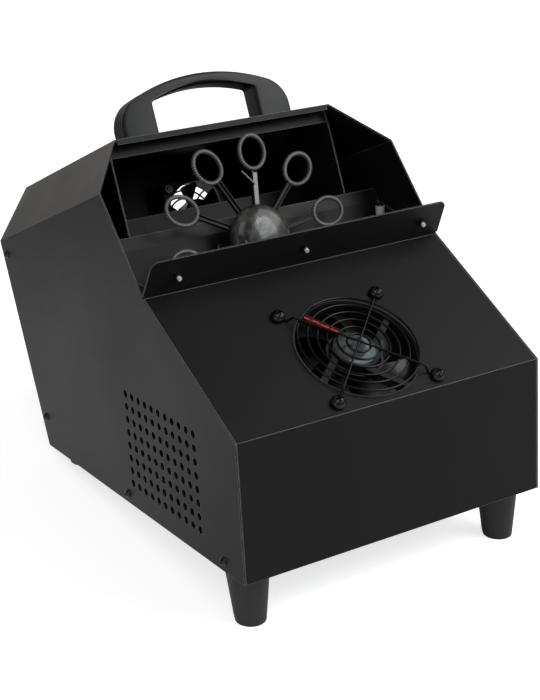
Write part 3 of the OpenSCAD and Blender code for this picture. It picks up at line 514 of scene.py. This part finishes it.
def laminated(name, view):
    # stacked steel leaves: fine parallel lines with a varnish between them
    look, tree, shader = newLook(name)
    wave = tree.nodes.new("ShaderNodeTexWave")
    wave.bands_direction = "Z"
    wave.inputs["Scale"].default_value = view["leafScale"]
    wave.inputs["Distortion"].default_value = view["wander"]
    tree.links.new(coordinates(tree), wave.inputs["Vector"])
    leaves = wave.outputs["Fac"]
    shade = tint(tree, leaves, linear(view["dark"]), linear(view["light"]))
    tree.links.new(shade, shader.inputs["Base Color"])
    tree.links.new(spread(tree, leaves, 0, 1, *view["rough"]), shader.inputs["Roughness"])
    tree.links.new(bump(tree, leaves, view["depth"]), shader.inputs["Normal"])
    shader.inputs["Metallic"].default_value = view["metal"]
    return look


coreLook = {
    "dark": (58, 56, 54),
    "light": (104, 102, 98),
    "rough": (0.6, 0.4),
    "leafScale": 320,
    "wander": 0.4,
    "depth": 0.1 * mm,
    "metal": 0.7,
}
coreSteel = laminated("coreSteel", coreLook)


def boardGreen(name, view):
    # solder mask over a maze of copper tracks
    look, tree, shader = newLook(name)
    where = coordinates(tree)
    mask = spread(tree, cells(tree, where, view["trackScale"]), *view["trackRange"], 0, 1)
    mottle = grain(tree, where, view["mottleScale"])
    base = tint(tree, mottle, linear(view["dark"]), linear(view["light"]))
    tree.links.new(tint(tree, mask, base, linear(view["track"])), shader.inputs["Base Color"])
    tree.links.new(spread(tree, mottle, *wideRange, *view["rough"]), shader.inputs["Roughness"])
    tree.links.new(bump(tree, mask, view["depth"]), shader.inputs["Normal"])
    return look


boardLook = {
    "dark": (14, 62, 38),
    "light": (24, 84, 52),
    "track": (52, 120, 72),
    "rough": (0.3, 0.44),
    "trackScale": 190,
    "trackRange": (0.42, 0.5),
    "mottleScale": 60,
    "depth": 0.05 * mm,
}
solderMask = boardGreen("solderMask", boardLook)

nodeLooks = {
    "chassis": powderCoat, "outer_cover": powderCoat, "rear_panel": powderCoat, "back_plate": powderCoat,
    "splash_shield": powderCoat, "fluid_tank": powderCoat,
    "tank_posts": postSteelPaintedSheen, "post_screws": screwBlack, "lip_screws": postSteelPaintedSheen, "lip_nuts": screwBlack,
    "cover_screws": screwBlack, "front_fan_screws": screwBlack, "rear_fan_screws": screwBlack,
    "inlet_screws": screwBlack, "front_fan_nuts": screwBlack, "rear_fan_nuts": screwBlack,
    "motor_screws": screwBlack, "handle_screws": brightSteel, "foot_screws": brightSteel,
    "foot_nuts": brightSteel, "front_fan_frame": fanPlastic, "rear_fan_frame": fanPlastic,
    "front_fan_label": fanLabel, "wheel_hub": hubPlastic, "hub_nut": brightSteel, "arm_clip": clipSteel,
    "wheel_shaft": brightSteel, "shaft_bush": bushBronze, "gearbox": zincCan, "motor": zincCan,
    "supply_board": solderMask, "board_spacers": nylonWhite, "transformer": coreSteel,
    "capacitors": capSleeve, "terminal_block": terminalGreen, "inlet_socket": mouldedBlack,
    "inlet_pins": brightSteel, "fuse_drawer": mouldedBlack, "switch_frame": mouldedBlack,
    "switch_rocker": rockerBlack,
}
for name, look in nodeLooks.items():
    node = frame["nodes"][name]
    for slot in node.material_slots:
        slot.material = look
print("finishes on", len(nodeLooks), "nodes")

wand = {
    "ribs": 44,
    "ribHeight": 1.2 * mm,
    "bandWidth": 3.6 * mm,  # over the ribs
    "squareness": 0.7,  # 1 gives the band an oval section, and less a squarer one
    "thinBetween": 0.86,  # the band's thickness between ribs, of its thickness at a rib
    "armWidth": 4.4 * mm,
    "channelWidth": 2.4 * mm,
    "channelDepth": 1.8 * mm,
    "edgeRound": 0.4 * mm,
    "ribSteps": 8,
    "sides": 16,
    "armStations": 6,
    "ringFrom": 0.72,  # of the reach: points further out show the way to the ring's middle
    "armUpTo": 0.5,  # of the way to the ring's middle: nearer points belong to the arm
}


def squared(wave, power):
    # a wave with flatter tops: sign(wave) * |wave|^power
    return np.sign(wave) * np.abs(wave) ** power


def wandPatches(size, angle, ring, halfArm, start):
    # ring: a squared-off round section goes round an oval, offset along the oval's normal, and
    # its width swells to a spike once per rib: offset = (half - rib * (1 - spike(turn))) * c
    turn = ringOf(size["ribs"] * size["ribSteps"])[:, None]
    around = ringOf(size["sides"])[None, :]
    c = squared(np.cos(around), size["squareness"])
    s = squared(np.sin(around), size["squareness"])
    spike = 0.5 + 0.5 * np.cos(turn * size["ribs"])
    offset = (size["bandWidth"] / 2 - size["ribHeight"] * (1 - spike)) * c
    long = ring["halfLong"] - size["bandWidth"] / 2
    wide = ring["halfWide"] - size["bandWidth"] / 2
    normal = np.hypot(np.cos(turn) / long, np.sin(turn) / wide)
    x = ring["centre"] + long * np.cos(turn) + offset * np.cos(turn) / long / normal
    y = wide * np.sin(turn) + offset * np.sin(turn) / wide / normal
    thin = size["thinBetween"]
    loop = np.stack([x, y, ring["halfThick"] * (thin + (1 - thin) * spike) * s], -1)
    # arm: a channel section carried straight out from the hub to the band
    half = size["armWidth"] / 2
    gap = size["channelWidth"] / 2
    bed = halfArm - size["channelDepth"]
    e = size["edgeRound"]
    section = np.array([(-half, -halfArm), (half, -halfArm), (half, halfArm - e), (half - e, halfArm),
                        (gap, halfArm), (gap - e / 2, bed), (-gap + e / 2, bed), (-gap, halfArm),
                        (-half + e, halfArm), (-half, halfArm - e)])
    stations = np.linspace(start, ring["centre"] - long, size["armStations"])
    extent = (len(stations), len(section))
    arm = np.stack([np.broadcast_to(stations[:, None], extent), np.broadcast_to(section[:, 0], extent),
                    np.broadcast_to(section[:, 1], extent)], -1)
    spin = np.array([[math.cos(angle), math.sin(angle), 0], [-math.sin(angle), math.cos(angle), 0],
                     [0, 0, 1]])
    made = [patch(loop, wrapRows=True, wrapColumns=True),
            patch(arm, wrapColumns=True, capStart=True, capEnd=True)]
    return [(points @ spin, faces) for points, faces in made]


def makeWand(node):
    # the arm's direction is the way to the ring's far half; then every size is read along it
    local = toLocal(nodePoints(node), wheelPlace)
    radial = np.hypot(local[:, 0], local[:, 1])
    far = local[radial > radial.max() * wand["ringFrom"]]
    angle = math.atan2(far[:, 1].mean(), far[:, 0].mean())
    along = local[:, :2] @ np.array([math.cos(angle), math.sin(angle)])
    beside = np.abs(local[:, :2] @ np.array([-math.sin(angle), math.cos(angle)]))
    centre = along[beside > beside.max() - onFace].mean()
    ring = {"centre": centre, "halfLong": along.max() - centre, "halfWide": beside.max(),
            "halfThick": np.abs(local[along > centre][:, 2]).max()}
    near = local[along < centre * wand["armUpTo"]]
    made = wandPatches(wand, angle, ring, np.abs(near[:, 2]).max(), along.min())
    makePiece(node + "_ribbed", [moved(m, wheelPlace) for m in made], (ringPlastic, armPlastic),
              "wheel", (node,))


wandNodes = sorted(n for n in frame["nodes"] if n.startswith("wand_"))
for name in wandNodes:
    makeWand(name)
print("wands:", len(wandNodes))

cap = {
    "wall": 1.6 * mm,
    "rimHeight": 1.6 * mm,
    "rimChamfer": 0.3 * mm,
    "sidePower": 0.94,
    "crown": 0.12,
    "poleAngle": 0.015,  # radians from the pole to the first row
    "rows": 26,
    "columns": 96,
}


def capPatches(size, radius, low, high):
    # outer dome, over a short upright rim: radius * sin(a)^sidePower across, and up
    # rise(a) = (1 + crown) * cos(a) - crown * cos(a)^3, scaled to end at the cap's top; the
    # inner face is one wall inside, its own radius * sin(a) across and height * cos(a) up
    base = low + size["rimHeight"]
    a = np.linspace(size["poleAngle"], np.pi / 2, size["rows"])
    rise = (1 + size["crown"]) * np.cos(a) - size["crown"] * np.cos(a) ** 3
    outer = np.stack([radius * np.sin(a) ** size["sidePower"], base + (high - base) * rise / rise[0]], -1)
    innerRadius = radius - size["wall"]
    c = size["rimChamfer"]
    rim = np.array([(radius, low + c), (radius - c, low), (innerRadius, low)])
    inner = np.stack([innerRadius * np.sin(a[::-1]),
                      base + (high - base - size["wall"]) * np.cos(a[::-1])], -1)
    profile = np.vstack([outer, rim, inner])
    return [patch(turned(profile, size["columns"]), wrapColumns=True, capStart=True, capEnd=True)]


capLocal = toLocal(nodePoints("hub_cap"), wheelPlace)
capRadius = np.hypot(capLocal[:, 0], capLocal[:, 1]).max()
made = capPatches(cap, capRadius, capLocal[:, 2].min(), capLocal[:, 2].max())
makePiece("hub_cap_dome", [moved(m, wheelPlace) for m in made], smokyPlastic, "wheel",
          ("hub_cap",))
print("hub cap")

rotor = {
    "rootPitch": 50,  # degrees from flat
    "tipPitch": 27,
    "rootChord": 0.62,  # of the room between blades, at the hub
    "tipChord": 0.86,
    "camber": 0.09,
    "sweep": 14,  # degrees from root to tip
    "thickness": 1.3 * mm,
    "edgeThin": 0.55,  # share of the thickness that one edge loses
    "rootSunk": 0.4 * mm,  # into the hub
    "depthRoom": 1.0 * mm,  # of the rotor's depth, left free by a blade
    "lowRoom": 0.2 * mm,  # left free at each end of the depth
    "highRoom": 0.1 * mm,
    "hubWall": 2.2 * mm,
    "noseRound": 1.5 * mm,
    "rimRound": 0.4 * mm,
    "bedRound": 1.0 * mm,
    "pinFoot": 1.0 * mm,  # over the nose, inside the hub's wall
    "bladeRows": 14,
    "bladeSteps": 26,
    "hubColumns": 72,
    "pinColumns": 24,
    "pinWithin": 4 * mm,  # only the pin's points lie nearer to the axis
    "hubWithin": 0.6,  # of the tips' radius: the hub's points lie nearer to the axis
    "noseLevel": 0.01 * mm,  # the nose's points lie this near to the rotor's lowest one
    "pinOver": 0.1 * mm,  # the pin's points stand more than this above the cup's rim
}


def rotorPatches(size, blades, hubRadius, tipRadius, low, high):
    # blade: a thin cambered section at each radius, pitched about the blade's own line and
    # bent round the axis: turn = start + sweep * u^1.5 + tangential / r, height = middle + axial
    u = np.linspace(0, 1, size["bladeRows"])[:, None]
    t = ringOf(size["bladeSteps"])[None, :]
    r = hubRadius - size["rootSunk"] + u * (tipRadius - hubRadius + size["rootSunk"])
    share = size["rootChord"] + (size["tipChord"] - size["rootChord"]) * u
    pitch = np.radians(size["rootPitch"] + (size["tipPitch"] - size["rootPitch"]) * u)
    chord = share * 2 * np.pi * r / blades / np.cos(pitch)
    chord = np.minimum(chord, (high - low - size["depthRoom"]) / np.sin(pitch))
    x = chord / 2 * np.cos(t)
    bowed = size["camber"] * chord * (np.cos(t) ** 2 - 0.5)
    y = size["thickness"] / 2 * np.sin(t) * (1 - size["edgeThin"] * np.cos(t)) - bowed
    tangential = x * np.cos(pitch) - y * np.sin(pitch)
    axial = x * np.sin(pitch) + y * np.cos(pitch)
    height = np.clip((low + high) / 2 + axial, low + size["lowRoom"], high - size["highRoom"])
    made = []
    for start in ringOf(blades):
        angle = start + np.radians(size["sweep"]) * u ** 1.5 + tangential / r
        grid = np.stack([r * np.cos(angle), r * np.sin(angle), height], -1)
        made.append(patch(grid, wrapColumns=True, capStart=True, capEnd=True))
    # hub: a cup open towards the stator, its edges rounded
    inside = hubRadius - size["hubWall"]
    bed = low + size["hubWall"]
    profile = rounded([(axisGap, low), (hubRadius, low), (hubRadius, high), (inside, high), (inside, bed),
                       (axisGap, bed)],
                      [size["noseRound"], size["rimRound"], size["rimRound"], size["bedRound"]])
    cup = turned(profile, size["hubColumns"])
    made.append(patch(cup, wrapColumns=True, capStart=True, capEnd=True))
    return made


def makeRotor(node, place, body, blades):
    local = toLocal(nodePoints(node), place)
    radial = np.hypot(local[:, 0], local[:, 1])
    low, high = local[:, 2].min(), local[:, 2].max()
    # away from the pin, the highest points are those of the open cup's rim
    rim = local[radial > rotor["pinWithin"]][:, 2].max()
    nose = (local[:, 2] < low + rotor["noseLevel"]) & (radial < radial.max() * rotor["hubWithin"])
    made = rotorPatches(rotor, blades, radial[nose].max(), radial.max(), low, rim)
    pin = radial[local[:, 2] > rim + rotor["pinOver"]].max()
    sunk = low + rotor["pinFoot"]
    profile = np.array([(axisGap, sunk), (pin, sunk), (pin, high), (axisGap, high)])
    stub = turned(profile, rotor["pinColumns"])
    made.append(patch(stub, wrapColumns=True, capStart=True, capEnd=True))
    makePiece(node + "_bladed", [moved(m, place) for m in made], rotorPlastic, body,
              (node,))


makeRotor("front_fan_rotor", frontFanPlace, "front_rotor", blades=7)
makeRotor("rear_fan_rotor", rearFanPlace, "rear_rotor", blades=5)
print("rotors")

frontGuard = {
    "rings": 6,
    "pitch": 7 * mm,
    "outer": 43.5 * mm,
    "wire": 0.8 * mm,  # the wire's radius
    "eye": 3.5 * mm,
    "eyeSlim": 0.98,  # an eye's wire, of the guard's
    "head": 5.5 * mm,  # a crossing wire is down on the sheet before it comes this near to a screw
    "headRoom": 0.7 * mm,  # and this much sooner
    "step": 5 * mm,
    "over": 1.7,  # a crossing wire's height above the rings, in radii of the wire
    "lift": 0.3 * mm,  # of the second crossing wire above the first
    "crossAngles": (45, 135),  # degrees
    "ringSteps": 120,
    "crossSteps": 161,
    "sides": 12,
}
rearGuard = dict(frontGuard, rings=3, outer=24.2 * mm, head=4.5 * mm)


def guardPatches(size, eyeAt, ringHeight):
    # each ring is a circle of wire; each crossing wire is a smooth step, from over the rings
    # down to the sheet: height = over + (sheet - over) * (3 f^2 - 2 f^3), with an eye at its end
    wire = size["wire"]
    sides = size["sides"]
    made = []
    turn = ringOf(size["ringSteps"])
    for i in range(size["rings"]):
        r = size["outer"] - i * size["pitch"]
        path = np.stack([r * np.cos(turn), r * np.sin(turn), np.full_like(turn, ringHeight)], -1)
        made.append(tube(path, wire, (0, 0, 1), sides, closed=True))
    crossHeight = ringHeight + wire * size["over"]
    reach = eyeAt - size["eye"]
    s = np.linspace(-reach, reach, size["crossSteps"])
    down = eyeAt - size["head"] - size["headRoom"]
    fall = np.clip((np.abs(s) - down + size["step"]) / size["step"], 0, 1)
    height = crossHeight + (wire - crossHeight) * (3 * fall ** 2 - 2 * fall ** 3)
    bend = turn[::3]
    for order, a in enumerate(np.radians(size["crossAngles"])):
        lift = order * size["lift"]
        path = np.stack([s * math.cos(a), s * math.sin(a), height + lift * (1 - fall)], -1)
        made.append(tube(path, wire, (math.sin(a), -math.cos(a), 0), sides))
        for end in (a, a + math.pi):
            eye = np.stack([eyeAt * math.cos(end) + size["eye"] * np.cos(bend),
                            eyeAt * math.sin(end) + size["eye"] * np.sin(bend),
                            np.full_like(bend, wire)], -1)
            made.append(tube(eye, wire * size["eyeSlim"], (0, 0, 1), sides, closed=True))
    return made


def makeGuard(node, place, size, screws):
    local = toLocal(nodePoints(node), place)
    face = local[:, 2].min()
    placed = dict(place, origin=place["origin"] + face * place["axes"][2])
    screwLocal = toLocal(nodePoints(screws), place)
    eyeAt = np.hypot(screwLocal[:, 0], screwLocal[:, 1])
    eyeAt = (eyeAt.max() + eyeAt.min()) / 2
    # the second crossing wire's top is the guard's own
    ringHeight = local[:, 2].max() - face - size["wire"] * (size["over"] + 1) - size["lift"]
    made = guardPatches(size, eyeAt, ringHeight)
    makePiece(node + "_wire", [moved(m, placed) for m in made], guardPaint, "body",
              (node,), sharp=60)


makeGuard("front_fan_guard", frontFanPlace, frontGuard, "front_fan_screws")
makeGuard("rear_fan_guard", rearFanPlace, rearGuard, "rear_fan_screws")
print("guards")

lead = {
    "wave": 0.3 * mm,
    "waves": 2.5,
    "slim": 0.96,  # of the node's own thickness
    "steps": 40,
    "sides": 14,
}


def makeLead(node, material, phase):
    # a lead that wanders a little either side of its strut, and not at its ends:
    # offset = wave * sin(waves * 2 pi s + phase) * sin(pi s)
    local = toLocal(nodePoints(node), frontFanPlace)
    middle = (local.min(0) + local.max(0)) / 2
    flat = (local - middle) * np.array([1, 1, 0])
    along = np.linalg.svd(flat)[2][0]
    along = along * np.sign(along @ middle)
    side = np.array([-along[1], along[0], 0])
    reach = local @ along
    radius = (local[:, 2].max() - local[:, 2].min()) / 2
    s = np.linspace(0, 1, lead["steps"])
    place = middle @ side
    sway = lead["wave"] * np.sin(lead["waves"] * 2 * np.pi * s + phase) * np.sin(np.pi * s)
    path = ((reach.min() + s * (reach.max() - reach.min()))[:, None] * along
            + (place + sway)[:, None] * side + np.array([0, 0, middle[2]]))
    made = tube(path, radius * lead["slim"], (0, 0, 1), lead["sides"])
    makePiece(node + "_run", [moved(made, frontFanPlace)], material, "body", (node,))


makeLead("front_fan_lead_red", leadRed, phase=0.4)
makeLead("front_fan_lead_black", leadBlack, phase=2.6)
print("leads")

handle = {
    "gripRadius": 145 * mm,
    "shoulderRadius": 24 * mm,
    "leg": 29 * mm,
    "grip": 9 * mm,
    "innerChamfer": 2.6 * mm,
    "innerRound": 0.5 * mm,
    "innerFlank": 1.9,  # chamfers from the opening to where its section ends on the face
    "innerReach": 0.62,  # of the width: the furthest that this section may run
    "outerRound": 2.6 * mm,
    "grooves": 4,
    "grooveDepth": 0.55 * mm,
    "grooveSteepness": 1.6,
    "grooveFloor": 0.9,  # of the depth
    "grooveFade": 0.2,
    "legShare": 0.62,  # of the shoulder's bend; the arch has the rest
    "legBend": 12,  # points on the shoulder's bend, and on the arch's long arc
    "archBend": 8,
    "archArc": 20,
    "legSteps": 26,
    "archSteps": 46,
    "faceSteps": 41,
    "roundSteps": 6,
    "soften": 2,  # stations either side in the running mean
}


def arcPoints(centre, radius, start, end, count):
    # part of a circle: centre + radius * (cos a, sin a)
    a = np.linspace(start, end, count)
    return np.stack([centre[0] + radius * np.cos(a), centre[1] + radius * np.sin(a)], -1)


def evenly(path, count):
    # the same path walked in equal steps
    step = np.concatenate([[0], np.cumsum(np.linalg.norm(np.diff(path, axis=0), axis=1))])
    s = np.linspace(0, step[-1], count)
    return np.stack([np.interp(s, step, path[:, 0]), np.interp(s, step, path[:, 1])], -1)


def handlePatches(size, width, height, depth):
    # one closed section carried along the arch. Its points (a, b) lie b across the depth and a
    # along the way out: point = inner line + out * a for the opening's side, and
    # point = outer line + out * a, with a below 0, for the outer side
    half = width / 2
    centre = np.array([0, height - size["gripRadius"]])
    side = half - size["shoulderRadius"]
    swing = size["gripRadius"] - size["shoulderRadius"]
    join = math.acos(side / swing)
    shoulder = np.array([side, centre[1] + swing * math.sin(join)])
    split = join * size["legShare"]
    innerX = half - size["leg"]
    innerRadius = size["gripRadius"] - size["grip"]
    turn = math.asin(innerX / innerRadius)
    corner = np.array([innerX, centre[1] + innerRadius * math.cos(turn)])
    legOut = np.vstack([[half, 0], arcPoints(shoulder, size["shoulderRadius"], 0, split, size["legBend"])])
    archOut = np.vstack([arcPoints(shoulder, size["shoulderRadius"], split, join, size["archBend"]),
                         arcPoints(centre, size["gripRadius"], join, math.pi / 2, size["archArc"])])
    legIn = np.array([[innerX, 0], corner])
    archIn = arcPoints(centre, innerRadius, math.pi / 2 - turn, math.pi / 2, size["archArc"])
    legSteps, archSteps = size["legSteps"], size["archSteps"]
    outer = np.vstack([evenly(legOut, legSteps), evenly(archOut, archSteps)[1:]])
    inner = np.vstack([evenly(legIn, legSteps), evenly(archIn, archSteps)[1:]])
    flip = np.array([-1, 1])
    outer = np.vstack([outer, outer[-2::-1] * flip])
    inner = np.vstack([inner, inner[-2::-1] * flip])
    # a short running mean takes the sharpness off the opening's corners
    n = size["soften"]
    soft = np.ones(2 * n + 1) / (2 * n + 1)
    padded = np.vstack([inner[:1]] * n + [inner] + [inner[-1:]] * n)
    inner = np.stack([np.convolve(padded[:, k], soft, "valid") for k in (0, 1)], -1)
    inner[:n + 1, 1] = np.linspace(0, inner[n + 1, 1], n + 2)[:n + 1]
    inner[-n - 1:, 1] = inner[:n + 1, 1][::-1]
    across = outer - inner
    wide = np.linalg.norm(across, axis=1)[:, None]
    out = across / wide
    d = depth / 2
    c, r = size["innerChamfer"], size["outerRound"]
    v = np.linspace(0, 1, size["faceSteps"])
    outerFace = (2 * v - 1) * (d - r)
    # grooves: depth * (steepness * cos(2 pi grooves v) - floor), kept below 0, fading to the ends
    ripple = size["grooveSteepness"] * np.cos(2 * np.pi * size["grooves"] * v) - size["grooveFloor"]
    groove = size["grooveDepth"] * np.clip(ripple, -size["grooveFloor"], 0)
    groove = groove * np.abs(np.sin(np.pi * v)) ** size["grooveFade"]
    q = np.linspace(0, math.pi / 2, size["roundSteps"])
    outSide = np.vstack([np.stack([-r + r * np.sin(q), -d + r - r * np.cos(q)], -1),
                         np.stack([groove, outerFace], -1),
                         np.stack([-r + r * np.cos(q), d - r + r * np.sin(q)], -1)])
    end = c * size["innerFlank"]
    inSide = rounded([(end, d), (c, d), (0, d - c), (0, -d + c), (c, -d), (end, -d)],
                     [size["innerRound"]] * 4, 4)
    reach = np.minimum(inSide[:, 0][None, :], wide * size["innerReach"])
    nearIn = inner[:, None, :] + out[:, None, :] * reach[:, :, None]
    nearOut = outer[:, None, :] + out[:, None, :] * outSide[:, 0][None, :, None]
    flatPoints = np.concatenate([nearOut, nearIn], 1)
    b = np.concatenate([outSide[:, 1], inSide[:, 1]])
    depths = np.broadcast_to(b[None, :, None], flatPoints.shape[:2] + (1,))
    grid = np.concatenate([flatPoints, depths], -1)
    grid[:, :, 1] = np.maximum(grid[:, :, 1], 0)
    return [patch(grid, wrapColumns=True, capStart=True, capEnd=True)]


handleLocal = toLocal(nodePoints("handle"), wheelPlace)
handleLow, handleHigh = handleLocal.min(0), handleLocal.max(0)
handleFoot = np.array([0, handleLow[1], (handleLow[2] + handleHigh[2]) / 2])
handlePlace = dict(wheelPlace, origin=toWorld(handleFoot, wheelPlace))
made = handlePatches(handle, *(handleHigh - handleLow))
makePiece("handle_arch", [moved(m, handlePlace) for m in made], handlePlastic, "body",
          ("handle",))
print("handle")

foot = {
    "topRound": 1.4 * mm,
    "taper": 0.11,  # off the radius, for each unit of height
    "recess": 6 * mm,
    "bore": 2.05 * mm,
    "seat": 5 * mm,
    "cutAllowance": 6 * mm,  # drawn past the floor, then cut back to it
    "edgeRound": 0.1 * mm,
    "seatRound": 0.6 * mm,
    "rows": 9,
    "columns": 72,
}


def postLine():
    # the tank's posts stand square to the body's bottom: their longest axis is the body's up
    points = nodePoints("tank_posts")
    own = points[points[:, 0] > 0]
    up = np.linalg.svd(own - own.mean(0))[2][0]
    return up * np.sign(up[2])


def footProfile(size, topRadius, tall):
    # half section of a foot, from its bore's top: radius = top radius - taper * depth down the
    # side, then a recess under it for the screw
    bottom = -tall - size["cutAllowance"]
    lowRadius = topRadius + size["taper"] * bottom
    wall = np.linspace(0, 1, size["rows"])[:, None] * np.array([lowRadius - topRadius, bottom])
    top = rounded([(size["bore"], 0), (topRadius, 0), (lowRadius, bottom)], [size["topRound"]])[:-1]
    side = (np.array([topRadius, 0]) + wall)[1:]
    under = rounded([(lowRadius, bottom), (size["recess"], bottom), (size["recess"], -size["seat"]),
                     (size["bore"], -size["seat"]), (size["bore"], 0)],
                    [size["edgeRound"], size["seatRound"], size["edgeRound"]])[1:]
    return np.vstack([top, side, under])


def makeFeet(node, name):
    # each foot is turned about its own line; what lies below the floor slides up that line, so
    # the sole is cut flat: point = point - up * min(z, 0) / up_z
    points = nodePoints(node)
    up = postLine()
    side = np.array([1.0, 0, 0])
    axes = np.array([side, np.cross(up, side), up])
    made = []
    for sideSign in (-1, 1):
        own = points[points[:, 0] * sideSign > 0]
        height = own @ up
        seat = own[height > height.max() - onFace]
        local = (seat - seat.mean(0)) @ axes.T
        top = seat.mean(0) + ((local.min(0) + local.max(0)) / 2) @ axes
        across = (own - top) @ axes.T
        radius = np.hypot(across[:, 0], across[:, 1]).max()
        profile = footProfile(foot, radius, -across[:, 2].min())
        world = top + turned(profile, foot["columns"]) @ axes
        below = np.minimum(world[:, :, 2], 0)
        world = world - (below / up[2])[:, :, None] * up
        made.append(patch(world, wrapRows=True, wrapColumns=True))
    makePiece(name, made, footRubber, "body", (node,), sharp=30)


makeFeet("front_feet", "front_feet_turned")
makeFeet("rear_feet", "rear_feet_turned")
print("feet")

stage = {
    "floorSize": 8.0,
    "floorLines": 9,
    "floorGlow": 0.72,
    "floorShine": 0.7,  # glow seen in gloss near shineFrom, gone by shineReach
    "shineFrom": (-0.3, 0.15, 0.0),
    "shineReach": (0.15, 0.55),
    "paper": (0.79, 0.81),
    "paperGrain": 6,
    "worldFill": 0.28,
    "worldShine": 0.24,
    "lampsAim": (0, 0, 0.12),
}
plain = (1, 1, 1)
warm = (1.0, 0.965, 0.91)
cool = (0.95, 0.975, 1.0)
lamps = [
    {"name": "key", "place": (-1.0, -1.2, 2.1), "power": 9, "size": 1.3, "colour": plain},
    {"name": "top", "place": (1.25, -0.6, 1.5), "power": 17, "size": 1.3, "colour": plain},
    {"name": "front", "place": (0.9, -1.2, 1.27), "power": 13, "size": 0.8, "colour": cool},
    {"name": "edge", "place": (-1.6, -0.85, 0.5), "power": 2, "size": 0.7, "colour": warm},
    {"name": "back", "place": (-0.1, 2.6, 0.4), "power": 6, "size": 1.6, "colour": warm},
]


def directRays(tree):
    # 1 for rays from the camera and through glass, 0 for the rest
    path = tree.nodes.new("ShaderNodeLightPath")
    return combine(tree, "MAXIMUM", path.outputs["Is Camera Ray"], path.outputs["Is Transmission Ray"])


def glossRays(tree):
    return tree.nodes.new("ShaderNodeLightPath").outputs["Is Glossy Ray"]


def makeFloor(size):
    half = size["floorSize"] / 2
    line = np.linspace(-half, half, size["floorLines"])
    x, y = np.meshgrid(line, line, indexing="ij")
    points, faces = patch(np.stack([x, y, np.zeros_like(x)], -1))
    mesh = bpy.data.meshes.new("floor")
    mesh.from_pydata(points, [], faces)
    look = bpy.data.materials.new("paper")
    look.use_nodes = True
    tree = look.node_tree
    tree.nodes.clear()
    matte = tree.nodes.new("ShaderNodeBsdfDiffuse")
    glow = tree.nodes.new("ShaderNodeEmission")
    both = tree.nodes.new("ShaderNodeAddShader")
    out = tree.nodes.new("ShaderNodeOutputMaterial")
    where = coordinates(tree)
    low, high = size["paper"]
    fibre = grain(tree, where, size["paperGrain"], detail=3)
    shade = tint(tree, fibre, (low, low, low, 1), (high, high, high, 1))
    tree.links.new(shade, matte.inputs["Color"])
    away = distanceFrom(tree, where, size["shineFrom"])
    shine = spread(tree, away, *size["shineReach"], size["floorShine"], 0)
    shine = combine(tree, "MULTIPLY", glossRays(tree), shine)
    seen = combine(tree, "MULTIPLY", directRays(tree), size["floorGlow"])
    tree.links.new(combine(tree, "MAXIMUM", seen, shine), glow.inputs["Strength"])
    tree.links.new(matte.outputs[0], both.inputs[0])
    tree.links.new(glow.outputs[0], both.inputs[1])
    tree.links.new(both.outputs[0], out.inputs[0])
    mesh.materials.append(look)
    floor = bpy.data.objects.new("floor", mesh)
    bpy.context.scene.collection.objects.link(floor)


def background(tree, strength):
    node = tree.nodes.new("ShaderNodeBackground")
    node.inputs["Color"].default_value = (1, 1, 1, 1)
    node.inputs["Strength"].default_value = strength
    return node.outputs[0]


def chosen(tree, share, first, second):
    node = tree.nodes.new("ShaderNodeMixShader")
    for socket, value in zip(node.inputs, (share, first, second)):
        tree.links.new(value, socket)
    return node.outputs[0]


def makeWorld(size):
    # white for the camera, and dim for what lights the machine and shows in its gloss
    world = bpy.data.worlds.new("studio")
    world.use_nodes = True
    tree = world.node_tree
    tree.nodes.clear()
    fill = background(tree, size["worldFill"])
    shine = background(tree, size["worldShine"])
    unseen = chosen(tree, glossRays(tree), fill, shine)
    seen = chosen(tree, directRays(tree), unseen, background(tree, 1.0))
    out = tree.nodes.new("ShaderNodeOutputWorld")
    tree.links.new(seen, out.inputs[0])
    bpy.context.scene.world = world


def makeSoftbox(lamp, target):
    # a lamp shines down its own -Z, so it is tipped up from straight down, then turned
    data = bpy.data.lights.new(lamp["name"], "AREA")
    data.color = lamp["colour"]
    data.shape = "SQUARE"
    data.size = lamp["size"]
    data.energy = lamp["power"]
    box = bpy.data.objects.new(lamp["name"], data)
    bpy.context.scene.collection.objects.link(box)
    box.location = lamp["place"]
    aim = np.array(target) - np.array(lamp["place"])
    drop = math.atan2(-aim[2], math.hypot(aim[0], aim[1]))
    box.rotation_euler = (math.pi / 2 - drop, 0, math.atan2(-aim[0], aim[1]))


makeFloor(stage)
makeWorld(stage)
for lamp in lamps:
    makeSoftbox(lamp, stage["lampsAim"])
bpy.context.scene.view_settings.view_transform = "Standard"
print("floor, world and lamps")
